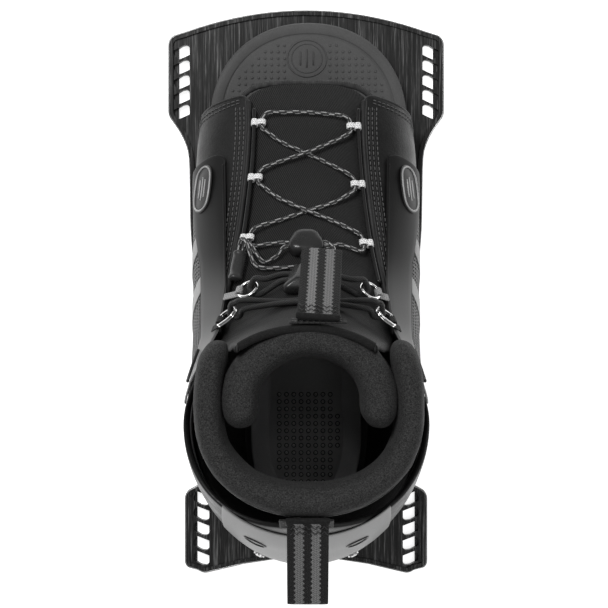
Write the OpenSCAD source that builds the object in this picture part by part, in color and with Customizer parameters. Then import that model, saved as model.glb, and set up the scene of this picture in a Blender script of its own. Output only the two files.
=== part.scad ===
// Open-toe water-ski boot on its slotted mounting plate.
// Millimetres. +Y points to the toe, +X to the right, +Z up.
// The origin is the middle of the plate's underside.

/* [Plate] */
// Length of the mounting plate
plate_l = 355; // [345:1:365]
// Half width of the plate at the front wings
front_wing = 87; // [84:0.5:90]
// Half width of the plate at the rear wings
rear_wing = 76.5; // [74:0.5:79]
// Thickness of the plate
plate_t = 5; // [4:0.5:6]
// Distance between the left and right rows of front windows
front_rows = 154; // [150:1:158]
// Distance between the left and right rows of rear windows
rear_rows = 130; // [126:1:134]
// Pitch of the windows along a row
window_pitch = 9.4; // [9:0.1:10]

/* [Upper] */
// Thickness of the outer shell
shell_t = 3.2; // [2.5:0.1:3.4]
// Thickness of the tongue
tongue_t = 3.6; // [3:0.1:4]
// Width of the pull-tab webbing
tab_w = 22; // [18:1:25]

/* [Closure] */
// Diameter of the lower lace
lace_d = 2.6; // [2.2:0.1:3]
// Diameter of the upper elastic cord
bungee_d = 3.4; // [3:0.2:4]
// Diameter of the stiffening rod along each lace edge
rod_d = 3; // [2.5:0.1:3.4]
// Bar thickness of the metal rings
ring_bar = 1.8; // [1.4:0.1:2]

/* [Hidden] */
$fn = 48;

// ---- The boot's skin: cross sections that fan from upright at the toe to level at the cuff ----
// Each section runs from a point on the tongue line to a point on the sole or heel line:
// [tongue y, tongue z, heel y, heel z, half width, where it is widest, squareness].
SECTIONS = [
  [125, 57, 118, -2, 61, 0.62, 2.6],
  [101, 68, 97, -4, 66, 0.58, 2.5],
  [68, 82, 58, -6, 68, 0.55, 2.4],
  [30, 103, 5, -8, 67.5, 0.52, 2.3],
  [3, 130, -65, -10, 66.5, 0.48, 2.2],
  [-6, 152, -136, -8, 67.5, 0.45, 2.05],
  [-10, 170, -163.5, 46, 68.5, 0.44, 1.95],
  [-13, 187, -148, 118, 67, 0.46, 2],
  [-15, 203, -121, 192, 60, 0.48, 2.15]
];
sole_z = plate_t + 3.3;       // where the shell's lower edge sits on the chassis
liner_z = sole_z + 2.4;       // where the liner's lower edge sits on the lasting board
skin_gap = 0.4;              // air between layers that lie on each other
tongue_d = shell_t + 1;       // depth of the tongue's face below the skin
throat = [36, 34.5, 36, 40.5, 46.5, 50, 53, 55, 53]; // half width of the lace opening at each section

function spline(a, b, c, d, t) =
  0.5 * (2 * b + (c - a) * t + (2 * a - 5 * b + 4 * c - d) * t * t + (3 * b - a - 3 * c + d) * t * t * t);
function along(list, v) =
  let (i = min(max(floor(v), 0), len(list) - 2), n = len(list) - 1)
  spline(list[max(i - 1, 0)], list[i], list[i + 1], list[min(i + 2, n)], v - i);
function unit(a) = a / norm(a);
function mix(a, b, t) = a + (b - a) * t;

// Point of the skin at section v and angle u (0 at the tongue line, 180 at the heel line), d inside it.
function skin(v, u, d) =
  let (
    s = along(SECTIONS, v), run = [s[2] - s[0], s[3] - s[1]], long = norm(run), q = 2 / s[6],
    front = s[5] * long, upper = front - d, lower = long - front - d,
    h = cos(u) >= 0 ? front - upper * pow(cos(u), q) : front + lower * pow(-cos(u), q),
    x = (s[4] - d) * sign(sin(u)) * pow(abs(sin(u)), q)
  ) [x, s[0] + run[0] * h / long, s[1] + run[1] * h / long];
// Angle of the skin at a distance x from the middle, on the tongue side.
function angle_at(v, x, d) =
  let (s = along(SECTIONS, v)) sign(x) * asin(min(1, pow(abs(x) / (s[4] - d), s[6] / 2)));
// Angle at which section v meets the level z, or 180 where it closes above that level.
function sole_angle(v, d, z) =
  let (
    s = along(SECTIONS, v), long = norm([s[2] - s[0], s[3] - s[1]]), front = s[5] * long,
    h = s[3] < z ? long * (s[1] - z) / (s[1] - s[3]) : long,
    f = (h - front) / (long - front - d), g = (front - h) / (front - d)
  ) f >= 1 ? 179.6 : f >= 0 ? min(179.6, acos(-pow(f, s[6] / 2))) : acos(pow(g, s[6] / 2));
function on_top(v, x, d) = skin(v, angle_at(v, x, d), d);
// Frame on the skin: origin, then x, y and z directions, with z outwards and y towards the toe.
function skin_frame(v, u, d) =
  let (
    p = skin(v, u, d), back = unit(skin(v + 0.05, u, d) - skin(v - 0.05, u, d)),
    side = unit(skin(v, u + 1, d) - skin(v, u - 1, d)), out = unit(cross(back, side)),
    x = unit(side - out * (side * out))
  ) [p, x, cross(out, x), out];

module place(f) {
  multmatrix([[f[1][0], f[2][0], f[3][0], f[0][0]], [f[1][1], f[2][1], f[3][1], f[0][1]],
              [f[1][2], f[2][2], f[3][2], f[0][2]], [0, 0, 0, 1]]) children();
}

module both(side) {
  mirror([side < 0 ? 1 : 0, 0, 0]) children();
}

// Closed sheet between two grids of points, each with n_s + 1 points across and n_t + 1 rows.
module sheet(outer, inner, n_s, n_t) {
  w = n_s + 1;
  base = w * (n_t + 1);
  edge = concat(
    [for (j = [0:n_s]) j], [for (i = [1:n_t]) i * w + n_s],
    [for (j = [n_s - 1:-1:0]) n_t * w + j], [for (i = [n_t - 1:-1:1]) i * w]);
  polyhedron(concat(outer, inner), concat(
    [for (i = [0:n_t - 1]) for (j = [0:n_s - 1]) for (k = [0, 1])
      let (p = i * w + j) k == 0 ? [p, p + 1, p + w + 1] : [p, p + w + 1, p + w]],
    [for (i = [0:n_t - 1]) for (j = [0:n_s - 1]) for (k = [0, 1])
      let (p = base + i * w + j) k == 0 ? [p, p + w + 1, p + 1] : [p, p + w, p + w + 1]],
    [for (e = [0:len(edge) - 1]) for (k = [0, 1])
      let (p = edge[e], r = edge[(e + 1) % len(edge)])
      k == 0 ? [p, base + p, base + r] : [p, base + r, r]]));
}

// Piece of the skin from depth d0 to depth d1. at(s, t, d) gives [v, u] for s across and t along it.
module patch(n_s, n_t, d0, d1, at) {
  function grid(d) = [for (i = [0:n_t]) for (j = [0:n_s])
    let (c = at(j / n_s, i / n_t, d)) skin(c[0], c[1], d)];
  sheet(grid(d0), grid(d1), n_s, n_t);
}

// Round tube along a list of points.
module tube(points, d, sides = 8) {
  n = len(points);
  function dir(i) = unit(points[min(i + 1, n - 1)] - points[max(i - 1, 0)]);
  function carry(a, t) = unit(a - t * (a * t));
  function sides_from(i, a) = i >= n ? [] : let (b = carry(a, dir(i))) concat([b], sides_from(i + 1, b));
  first = unit(cross(dir(0), abs(dir(0)[2]) < 0.9 ? [0, 0, 1] : [1, 0, 0]));
  axes = sides_from(0, first);
  rings = [for (i = [0:n - 1]) for (k = [0:sides - 1])
    let (a = 360 * k / sides) points[i] + d / 2 * (cos(a) * axes[i] + sin(a) * cross(dir(i), axes[i]))];
  polyhedron(rings, concat(
    [[for (k = [0:sides - 1]) k]], [[for (k = [sides - 1:-1:0]) (n - 1) * sides + k]],
    [for (i = [0:n - 2]) for (k = [0:sides - 1]) for (h = [0, 1])
      let (a = i * sides + k, b = i * sides + (k + 1) % sides)
      h == 0 ? [a, a + sides, b + sides] : [a, b + sides, b]]));
}
// Smooth line through a list of points, with m steps between two of them.
function smooth(list, m) =
  [for (i = [0:m * (len(list) - 1)]) along(list, i / m)];

// ---- Plate ----
front_y = 151.6;   // middle of the first front window
rear_y = -131.2;   // middle of the first rear window
window_n = 5;      // windows in a row
rim_w = 3;         // width of the raised rim
rim_h = 1.4;       // height of the raised rim over the plate's face
screw_r = 3;       // radius of the screws that hold the boot
screws = [[30, 96], [30, 22], [24, -104]];
function arc(c, r, a0, a1, n = 8) =
  [for (i = [0:n]) let (a = mix(a0, a1, i / n)) c + r * [cos(a), sin(a)]];
front_arc_r = 213; // radius of the plate's front edge
module plate_outline() {
  half = plate_l / 2;
  side = concat(
    [for (i = [0:10]) let (x = 7.6 * i) [x, half - x * x / (2 * front_arc_r)]],
    arc([front_wing - 7, 155.5], 7, 62, 0, 5), arc([front_wing - 9, 114], 9, 0, -42, 4),
    smooth([[80.5, 102], [76.4, 94], [74, 84], [73.4, 60], [73, 40], [71.5, 20], [69.5, 0], [68, -30],
            [66, -60], [63, -90], [60, -112]], 3),
    smooth([[61, -117], [66, -121], [70.5, -123.5]], 3),
    arc([rear_wing - 6.5, -130.5], 6.5, 50, 0, 4), arc([rear_wing - 5, -170], 5, 0, -55, 4),
    [[68.5, -175.6]], arc([63.5, -171.5], 6, -60, -100, 3),
    [[52, -175], [39.5, -172], [20, -169], [0, -168]]);
  polygon(concat(side, [for (i = [len(side) - 2:-1:1]) [-side[i][0], side[i][1]]]));
}

// One slanted window, rounded at its upper inner corner; the inner side is towards -x.
module window_shape() {
  w = 6.8;
  polygon(concat(
    [[w / 2, -5.1], [w / 2, 2.1], [0.8, 3.8]],
    arc([-1.4, 2.2], 2, 75, 180, 5), [[-w / 2, -2]]));
}

module window_row(y, slant) {
  for (i = [0:window_n - 1])
    translate([0, y - i * window_pitch]) mirror([0, slant < 0 ? 1 : 0]) children();
}

module windows(grow) {
  for (side = [-1, 1]) both(side) {
    translate([front_rows / 2, 0]) window_row(front_y, 1) offset(delta = grow) window_shape();
    translate([rear_rows / 2, 0]) window_row(rear_y, -1)
      offset(delta = grow) scale([1.12, 0.96]) window_shape();
  }
}

// Pocket on the outer side of each window, where the ski screw's washer seats.
module window_pockets() {
  for (side = [-1, 1]) both(side) {
    translate([front_rows / 2 + 4.7, 0]) window_row(front_y, 1)
      polygon([[-1.5, -4.8], [0.6, -3.6], [2, -1.2], [1.8, 0.8], [-1.5, 2.6]]);
    translate([rear_rows / 2 + 5, 0]) window_row(rear_y, -1)
      polygon([[-1.5, -4.4], [0.4, -3.6], [1.2, -1.2], [1, 0.8], [-1.5, 2.4]]);
  }
}

module base_plate() color("#1d1d1f") difference() {
  union() {
    linear_extrude(plate_t) plate_outline();
    linear_extrude(plate_t + rim_h) difference() {
      plate_outline();
      offset(delta = -rim_w) plate_outline();
    }
  }
  translate([0, 0, -1]) linear_extrude(plate_t + 4) windows(0);
  translate([0, 0, plate_t - 2.4]) linear_extrude(6) window_pockets();
  for (s = screws) for (side = [-1, 1]) translate([side * s[0], s[1], 0]) {
    translate([0, 0, -1]) cylinder(r = screw_r + 0.3, h = plate_t + 3);
    translate([0, 0, -0.01]) cylinder(r1 = screw_r + 3.6, r2 = screw_r + 0.3, h = 3.3);
  }
}

module plate_screws() color("#8f9296")
  for (s = screws) for (side = [-1, 1]) translate([side * s[0], s[1], 0]) difference() {
    union() {
      translate([0, 0, 0.3]) cylinder(r1 = screw_r + 2.9, r2 = screw_r, h = 2.9);
      translate([0, 0, 0.3]) cylinder(r = screw_r, h = sole_z + 1.6);
    }
    translate([0, 0, 0]) cylinder(r = 2, h = 2.4, $fn = 6);
  }
nut_r = 4.6;     // radius of the barrel of each tee nut
flange_r = 8;    // radius of its flange
module tee_nuts() color("#8f9296")
  for (s = screws) for (side = [-1, 1]) translate([side * s[0], s[1], 0]) difference() {
    union() {
      translate([0, 0, plate_t + 0.2]) cylinder(r = nut_r, h = 4.8);
      translate([0, 0, sole_z + 0.2]) cylinder(r = flange_r, h = 1.6);
    }
    translate([0, 0, plate_t]) cylinder(r = screw_r + 0.05, h = 8);
  }

// ---- Sole ----
// Outline of the skin, d inside it, at level z: the right half, from section v0 back to the heel.
function footprint(d, z, v0, n) =
  [for (i = [0:n])
    let (v = mix(v0, 5.35, i / n), p = skin(v, sole_angle(v, d, z), d))
    if (p[0] > 2) [p[0], p[1]]];
function mirrored(half) = concat(half, [for (i = [len(half) - 1:-1:0]) [-half[i][0], half[i][1]]]);
function toe_arc(w, y0, y1) =
  [for (i = [1:14]) let (a = 90 - 90 * i / 14) [w * pow(cos(a), 0.94), mix(y0, y1, pow(sin(a), 0.94))]];
toe_y = 168;        // front end of the footbed
footbed_t = 7.4;    // thickness of the footbed inside the boot
footbed_top = liner_z + footbed_t;

module sole_chassis() color("#141414") difference() {
  translate([0, 0, plate_t + 0.1]) linear_extrude(sole_z - plate_t - 0.2)
    polygon(mirrored(concat(toe_arc(55, 104, 158), footprint(-1, sole_z, 0.95, 30))));
  for (s = screws) for (side = [-1, 1])
    translate([side * s[0], s[1], plate_t - 1]) cylinder(r = nut_r + 0.1, h = 8);
}

module lasting_board() color("#2a2a2a") difference() {
  translate([0, 0, sole_z + 0.1]) linear_extrude(1.9)
    polygon(mirrored(footprint(shell_t + 0.6, sole_z, 1.05, 30)));
  for (s = screws) for (side = [-1, 1])
    translate([side * s[0], s[1], sole_z - 1]) cylinder(r = flange_r + 0.2, h = 6);
}

module footbed() color("#4a4a4a") difference() {
  union() {
    translate([0, 0, liner_z + 0.1]) linear_extrude(footbed_t - 0.1)
      polygon(mirrored(concat([[50, 112]], footprint(11.2, liner_z, 1.0, 30))));
    translate([1.5, 0, sole_z]) linear_extrude(footbed_top - sole_z)
      polygon(mirrored(concat([for (p = toe_arc(61.5, 106, toe_y)) p], [[60, 105.5], [46, 103.5]])));
  }
  for (s = screws) for (side = [-1, 1])
    translate([side * s[0], s[1], sole_z - 1]) cylinder(r = flange_r + 0.4, h = 3.6);
}

// ---- Upper ----
quarter_top = 4.95;   // section at which the lace edge ends
cuff_top = 7.72;      // section of the shell's upper edge at the heel
// Rows of the grid are closest together where the sole line turns up into the heel line.
function rows(t) = lookup(t,
  [[0, 0], [0.32, 0.58], [0.42, 0.628], [0.52, 0.644], [0.62, 0.6535], [0.69, 0.668], [0.77, 0.72], [1, 1]]);
function quarter_end(s) = mix(quarter_top, cuff_top, pow(s, 0.3));
function quarter_at(s, t, d) =
  let (w = mix(t, rows(t), s), v = mix(0.38 + 0.57 * s, quarter_end(s), w),
    u0 = angle_at(v, along(throat, v), d))
  [v, mix(u0, sole_angle(v, d, sole_z), s)];

module quarter(side) color("#1a1a1b") both(side)
  patch(18, 34, 0, shell_t, function (s, t, d) quarter_at(s, t, d));

// The tongue's half width under the shell, and the liner that meets it.
tongue_w = [46, 44, 45, 48, 50, 48, 42, 38, 36];
liner_d = shell_t + 2.4;
function liner_at(s, t, d) =
  let (w = mix(t, rows(t), s), v = mix(0.75 + 0.4 * s, mix(4.6, 7.6, pow(s, 0.6)), w),
    u0 = angle_at(v, along(tongue_w, v) + 1.5 + 3 * max(0, v - 4), d))
  [v, mix(u0, sole_angle(v, d, liner_z), s)];

module liner(side) color("#161616") both(side)
  patch(13, 22, liner_d, liner_d + 2.6, function (s, t, d) liner_at(s, t, d));

module heel_counter() color("#303030")
  patch(14, 8, shell_t + 0.8, liner_d - 0.5, function (s, t, d) [mix(5.65, 6.6, t), mix(134, 226, s)]);

module heel_overlay() color("#8e9093")
  patch(16, 10, -1.6, -skin_gap, function (s, t, d) [mix(5.7, 7.5, t), mix(136, 224, s)]);

module heel_rivets() color("#55585c")
  for (side = [-1, 1]) place(skin_frame(6.25, 180 + side * 24, -1.75)) {
    translate([0, 0, 0]) cylinder(r = 3.4, h = 1);
    translate([0, 0, 0.9]) cylinder(r1 = 2.6, r2 = 1.4, h = 0.8, $fn = 32);
  }
// Lower edge of the side overlay, as an angle.
function overlay_low(v) = lookup(v, [[1.8, 88], [2.6, 74], [3.2, 63], [4.6, 61], [5.9, 82]]);
function overlay_at(s, t, d) =
  let (v = mix(1.55 + 0.3 * s, 5.9, t), x = lookup(t, [[0, 47], [0.5, 44.5], [0.8, 48], [1, 57]]))
  [v, mix(angle_at(v, x, d) + 1.5, overlay_low(v), s)];

module side_overlay(side) color("#3a3b3d") both(side)
  patch(6, 22, -2, -0.9, function (s, t, d) overlay_at(s, t, d));
function mesh_at(s, t, d) =
  let (v = mix(2.25, 5.35, t)) [v, mix(overlay_low(v) + 2, min(118, sole_angle(v, d, sole_z + 9)), s)];

module mesh_panel(side) color("#3c3c3c") both(side)
  patch(6, 16, -1.1, -skin_gap, function (s, t, d) mesh_at(s, t, d));

module badge(side) color("#77797c") both(side) place(skin_frame(2.13, 59, -2.2)) difference() {
  linear_extrude(1.1) hull() for (k = [-1, 1]) translate([0, 6 * k]) circle(r = 9);
  translate([0, 0, 0.5]) linear_extrude(2) difference() {
    hull() for (k = [-1, 1]) translate([0, 6 * k]) circle(r = 7.4);
    hull() for (k = [-1, 1]) translate([0, 6 * k]) circle(r = 5.6);
  }
}

// ---- Tongue and collars ----
hinge_v = 5.15;            // section at which the tongue bends forward
hinge_gap = 0.03;
tongue_front = function (x) 0.95 * pow(abs(x) / 44, 2);
function tongue_at(v0, v1, front) = function (s, t, d)
  let (k = 2 * s - 1, a = mix(front ? tongue_front(44 * k) : v0, v1, t))
  [a, k * angle_at(a, along(tongue_w, a), d)];

module tongue_lower() color("#121213")
  patch(16, 18, tongue_d, tongue_d + tongue_t, tongue_at(0, hinge_v - hinge_gap, true));

module tongue_upper() color("#121213")
  patch(16, 12, tongue_d, tongue_d + tongue_t, tongue_at(hinge_v + hinge_gap, 7.9, false));

module toe_binding() color("#2e2e2e")
  tube([for (i = [-12:12]) let (k = i / 12, v = tongue_front(44 * k) - 0.22 - 0.1 * abs(k))
    skin(v, k * angle_at(v, along(tongue_w, v), tongue_d), tongue_d + tongue_t / 2)], 3.6);

// Padded roll along a level path. Each point is [x, y, z, thickness, height].
module roll(path, m = 14) {
  n = len(path);
  function turn(i) = let (t = unit([path[min(i + 1, n - 1)][0] - path[max(i - 1, 0)][0],
                                    path[min(i + 1, n - 1)][1] - path[max(i - 1, 0)][1]])) [t[1], -t[0]];
  points = [for (i = [0:n - 1]) for (k = [0:m - 1])
    let (p = path[i], o = turn(i), a = 360 * k / m, c = sign(cos(a)) * pow(abs(cos(a)), 0.8),
         h = sign(sin(a)) * pow(abs(sin(a)), 0.8))
    [p[0] + o[0] * c * p[3] / 2, p[1] + o[1] * c * p[3] / 2, p[2] + h * p[4] / 2]];
  polyhedron(points, concat([[for (k = [m - 1:-1:0]) k]], [[for (k = [0:m - 1]) (n - 1) * m + k]],
    [for (i = [0:n - 2]) for (k = [0:m - 1]) for (h = [0, 1])
      let (a = i * m + k, b = i * m + (k + 1) % m) h == 0 ? [a, b, b + m] : [a, b + m, a + m]]));
}
// Thickness that swells from a rounded tip: 0 at the end of the path, 1 after the first tenth.
function swell(t) = let (e = min(1, min(t, 1 - t) / 0.07)) sqrt(max(0.02, 1 - pow(1 - e, 2)));
tongue_roll = [for (i = [0:36]) let (t = i / 36, a = -33 + 246 * t, k = swell(t), rise = abs(cos(a)))
  [36.2 * cos(a), -60.5 + (sin(a) > 0 ? 31 : 24) * sin(a), 186 - 3 * rise,
   k * mix(14, 18.6, rise), k * mix(38, 34, rise)]];
cuff_roll = [for (i = [0:48])
  let (t = i / 48, a = 142 + 256 * t, k = swell(t), side = abs(cos(a)), rise = abs(sin(a)),
       front = sin(a) > 0, y = front ? 58 * pow(rise, 0.714) : -43.6 * rise)
  [52.6 * sign(cos(a)) * pow(side, front ? 0.714 : 0.9), -68 + y, 179 + 2 * rise,
   k * mix(16.6, 12.4, side), k * 41]];

module tongue_collar() color("#333333") roll(tongue_roll);

module cuff_collar() color("#333333") roll(cuff_roll);

module cuff_band() color("#1f1f20")
  patch(36, 5, shell_t + 0.5, shell_t + 1.5, function (s, t, d)
    let (k = abs(2 * s - 1), v = mix(quarter_end(max(0.04, 1 - k)) - 0.35, mix(7.35, 6.75, k), t),
         u0 = angle_at(v, along(throat, v) + 1, d), u = mix(180, u0, k)) [v, s < 0.5 ? u : 360 - u]);

// ---- Pull tabs: a folded strip of webbing in side view, from the seam to the fold ----
web_t = 1.6;         // thickness of the webbing
tab_open = 8;        // width of the loop at the fold
module tab_side(long) {
  c = [long - tab_open / 2, 0];
  r = tab_open / 2;
  difference() {
    polygon(concat([[0, -web_t]], arc(c, r, -90, 90, 12), [[0, web_t]]));
    polygon(concat([[16, -0.25]], arc(c, r - web_t, -90, 90, 12), [[16, 0.25]]));
  }
}

module pull_tab(seam, droop, turn, long) color("#2b2b2c")
  translate(seam) rotate([0, 0, turn]) rotate([-droop, 0, 0]) rotate([90, 0, 90])
  translate([0, 0, -tab_w / 2]) linear_extrude(tab_w) tab_side(long);
front_seam = [6, -14.4, 204];
rear_seam = [0.7, -121, 198];

module front_pull_tab() pull_tab(front_seam, 54, -4, 60);

module rear_pull_tab() pull_tab(rear_seam, 32, 180, 56);

module tab_patch() color("#222222") translate([6, 0, 0]) place(skin_frame(7.62, 0, tongue_d - 1.2))
  translate([-14.5, -6, 0]) cube([29, 12, 1]);

module rear_tab_patch() color("#222222") place(skin_frame(7.86, 180, -0.2))
  translate([-14, -9, 0]) cube([28, 16, 1]);

// ---- Lower lacing ----
loops_left = [1.02, 2.03, 2.95];    // sections of the three loops on the left
loops_right = [1.1, 2.14, 3.04];    // and on the right
rod_x = 3.4;                        // how far the rod stands inside the lace edge
rod_depth = 0.9;
loop_pitch = 4.4;                   // from the rod's axis to the lace's axis
loop_w = 4.4;                       // width of the loop's webbing
function edge_x(v) = along(throat, v) - rod_x;

module lace_rod(side, end) color("#2c2c2e") both(side)
  tube([for (i = [0:20]) let (v = mix(0.72, end, i / 20)) on_top(v, edge_x(v), rod_depth)], rod_d);

module eyelet(r) {
  circle(r = r, $fn = 24);
}
function loop_at(v) = skin_frame(v, angle_at(v, edge_x(v), 0), rod_depth);

module lace_loop(v) place(loop_at(v)) rotate([90, 0, 0]) translate([0, 0, -loop_w / 2])
  linear_extrude(loop_w) difference() {
    hull() {
      eyelet(2.95);
      translate([-loop_pitch, 0.4]) eyelet(2.5);
    }
    eyelet(2.1);
    translate([-loop_pitch, 0.4]) eyelet(1.75);
  }
module lace_loops(side) color("#dcdcdc") both(side)
  for (v = side < 0 ? loops_left : loops_right) lace_loop(v);

function in_frame(f, p) = f[0] + f[1] * p[0] + f[2] * p[1] + f[3] * p[2];
// The lace in a loop, from one side of the webbing to the other.
// from and to are 1 behind the loop and -1 before it.
function turn_in(side, v, from, to) = [
  for (p = [[-3.6, -6.4 * from, 0.9], [0, -2.9 * from, 0.4], [0, -2.9 * to, 0.4], [-3.6, -6.4 * to, 0.9]])
    let (q = in_frame(loop_at(v), [p[0] - loop_pitch, p[1], p[2]])) [side * q[0], q[1], q[2]]];
function over(list) = [for (p = list) on_top(p[1], p[0], tongue_d - 2.2 - p[2])];
lock_v = 3.13;       // section of the lace lock
slot_y = 1.55;       // half the distance between the two strands in the lock
slot_mid = -1.5;     // middle of the two strands along the lock
slot_z = 4.6;        // height of the strands in the lock
lock_at = skin_frame(lock_v, 0, tongue_d);
grip_at = skin_frame(3.2, -angle_at(3.2, 37, 0), -1.4);
grip_l = 19;
LACE = concat(
  [for (p = [[1.5, -4, 0], [1.5, 2.5, 0], [2.6, 5.8, 1], [7, 3.2, 1.6], [10.2, -2, 0.6]])
    in_frame(grip_at, p)],
  [for (p = [[-24, -12.5, 1.6], [-16.5, -8.5, 2.6], [-12.5, slot_mid - slot_y - 0.6, slot_z],
             [-5, slot_mid - slot_y, slot_z], [5, slot_mid - slot_y, slot_z],
             [11.5, slot_mid - slot_y, slot_z - 0.4]])
    in_frame(lock_at, p)],
  over([[20, 3.1, 1.2]]),
  turn_in(1, loops_right[2], 1, -1), over([[15, 2.7, 1.5], [0, 2.55, 2.5], [-16, 2.36, 1.5]]),
  turn_in(-1, loops_left[1], 1, -1), over([[-15, 1.76, 1.4], [0, 1.61, 2.4], [15, 1.42, 1.4]]),
  turn_in(1, loops_right[0], 1, -1), over([[14, 0.84, 0.9], [0, 0.8, 1], [-14, 0.8, 0.9]]),
  turn_in(-1, loops_left[0], -1, 1), over([[-14, 1.42, 0.3], [0, 1.61, -0.4], [15, 1.82, 0.3]]),
  turn_in(1, loops_right[1], -1, 1), over([[16, 2.42, 0.3], [0, 2.55, -0.4], [-16, 2.69, 0.3]]),
  turn_in(-1, loops_left[2], -1, 1), over([[-20, 3.08, 1.2]]),
  [for (p = [[-11.5, slot_mid + slot_y, slot_z - 0.4], [-5, slot_mid + slot_y, slot_z],
             [5, slot_mid + slot_y, slot_z], [12.5, slot_mid + slot_y - 0.8, slot_z], [16, -7, 4.4],
             [10, -14, 3], [-4, -16.4, 2.4], [-18, -17, 1.6], [-28, -15.5, 1.4]])
    in_frame(lock_at, p)],
  [for (p = [[8.2, -4.5, 1.8], [6.2, 2, 4.4], [1.5, 7, 3.4], [-1.5, 4, 0.4], [-1.5, -4, 0]])
    in_frame(grip_at, p)]);

module lace() color("#5a5a5c") tube(smooth(LACE, 1), lace_d);

module lace_end_grip() color("#4b4b4d") place(grip_at) rotate([90, 0, 0]) difference() {
  hull() for (k = [-1, 1]) translate([k * 1.5, 0, 0]) cylinder(r = 2.7, h = grip_l, $fn = 24);
  for (k = [-1, 1]) translate([k * 1.5, 0, -1]) cylinder(r = 1.4, h = 7, $fn = 24);
}

// Cord lock: a body with holes across it for the cords and a sprung button at the back.
press = 2.2;         // travel of the button
module rod_y(r, y0, y1) {
  translate([0, y0, slot_z]) rotate([-90, 0, 0]) cylinder(r = r, h = y1 - y0);
}

module cross_hole(r, y, w) {
  translate([-w / 2, y, slot_z]) rotate([0, 90, 0]) cylinder(r = r, h = w);
}

module lock_body(w, l, taper, slots, r) difference() {
  translate([0, 0, 0.8]) linear_extrude(8) hull() for (k = [-1, 1]) {
    translate([k * (w / 2 - taper - 2.5), l / 2 - 2.5]) circle(r = 2.5, $fn = 24);
    translate([k * (w / 2 - 2.5), 2.5 - l / 2]) circle(r = 2.5, $fn = 24);
  }
  for (y = slots) cross_hole(r, y, w + 2);
  rod_y(2.9, -l / 2 - 1, l / 2 - 1.5);
}
function button_end(l) = l / 2 - 2.8 - press;

module lock_button(l, slots, r) difference() {
  union() {
    rod_y(2.6, -l / 2 - 2.4, button_end(l));
    rod_y(3.8, -l / 2 - 4.4, -l / 2 - 2.4);
  }
  for (y = slots) for (k = [0, 0.5, 1]) cross_hole(r, y - press * k, 8);
}

module lock_spring(l) {
  turns = 3;
  steps = 12;
  y0 = button_end(l) + 0.5;
  y1 = l / 2 - 2;
  tube([for (i = [0:turns * steps]) let (a = 360 * i / steps)
    [1.9 * cos(a), mix(y0, y1, i / (turns * steps)), slot_z + 1.9 * sin(a)]], 0.6, 6);
}
lock_l = 17;
lock_slots = [slot_mid - slot_y, slot_mid + slot_y];

module lace_lock_body() color("#232324") place(lock_at) lock_body(20, lock_l, 3, lock_slots, 1.65);

module lace_lock_button() color("#2e2e30") place(lock_at) lock_button(lock_l, lock_slots, 1.65);

module lace_lock_spring() color("#8f9296") place(lock_at) lock_spring(lock_l);

// ---- Upper closure: rings and links on the lace edges, elastic cords between them ----
ring_r = 5.8;        // radius of the ring's centre line
bungee_y = 3;        // half the distance between the two strands
upper_l = 20;
upper_slots = [-bungee_y, bungee_y];
upper_at = skin_frame(3.93, 0, tongue_d - 1.6);
function ring_x(side) = side < 0 ? 31.8 : 34.8;
function ring_at(side) = skin_frame(4.02, angle_at(4.02, ring_x(side), 0), -2.3);
link_at = skin_frame(4.9, angle_at(4.9, 42.5, 0), -4);

module ring(side) color("#b9bcc0") both(side) place(ring_at(side))
  rotate_extrude() translate([ring_r, 0]) circle(r = ring_bar / 2);

// Webbing folded round a bar at x, with its tail lying on the shell.
module sleeve(x, tail) translate([0, 2.5, 0]) rotate([90, 0, 0]) linear_extrude(5) difference() {
  union() {
    translate([x, 0]) circle(r = 2.3);
    translate([x, -2.05]) square([tail, 1.2]);
  }
  translate([x, 0]) circle(r = 1.35);
}

module ring_webbing(side) color("#a9a9a9") both(side) place(ring_at(side))
  sleeve(ring_r - 0.3, 42.6 - ring_x(side));

module hook_webbing(side) color("#1c1c1c") both(side) place(link_at) sleeve(4.5, 8);

module hook_link(side) color("#b9bcc0") both(side) place(link_at) tube(smooth(
  [[4.5, 0.2, 0], [4.5, 3.2, 0], [3.2, 4.6, 0], [-2, 4.6, 0], [-6.4, 3.6, 0], [-8.2, 0, 0], [-6.4, -3.6, 0],
   [-2, -4.6, 0], [3.2, -4.6, 0], [4.5, -3.2, 0], [4.5, -0.2, 0]], 3), 2);
// Bight of a cord over and under the inner bar of a ring or link: [x, y, z] in that part's frame.
function bight(f, side, bar, y, r, far) = [
  for (p = [[-bar - far, y, r], [-bar - 2.6, y, r + 1.6], [-bar, y, r + 2],
            [3 - bar, y * 0.8, r * 0.9], [4.8 - bar, y * 0.2, -0.4], [3 - bar, -y * 0.7, -r - 0.4],
            [-bar, -y, -r - 1.6], [-bar - 2.6, -y, -r - 1.1], [-bar - far, -y, -r]])
    let (q = in_frame(f, p)) [side * q[0], q[1], q[2]]];
function back(list) = [for (i = [len(list) - 1:-1:0]) list[i]];
BUNGEE = concat(
  [for (x = [0.3, 6, 13.6]) in_frame(upper_at, [x, bungee_y, slot_z])],
  bight(ring_at(1), 1, ring_r, bungee_y, 1.7, 8),
  [for (x = [13.6, 0, -13.6]) in_frame(upper_at, [x, -bungee_y, slot_z])],
  back(bight(ring_at(-1), -1, ring_r, bungee_y, 1.7, 6)),
  [for (x = [-13.6, -6, -0.3]) in_frame(upper_at, [x, bungee_y, slot_z])]);

module bungee() color("#151515") tube(smooth(BUNGEE, 2), bungee_d);

module bungee_lock_body() color("#232324") place(upper_at) lock_body(26, upper_l, 5, upper_slots, 2.1);

module bungee_lock_button() color("#2e2e30") place(upper_at) lock_button(upper_l, upper_slots, 2.1);

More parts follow.
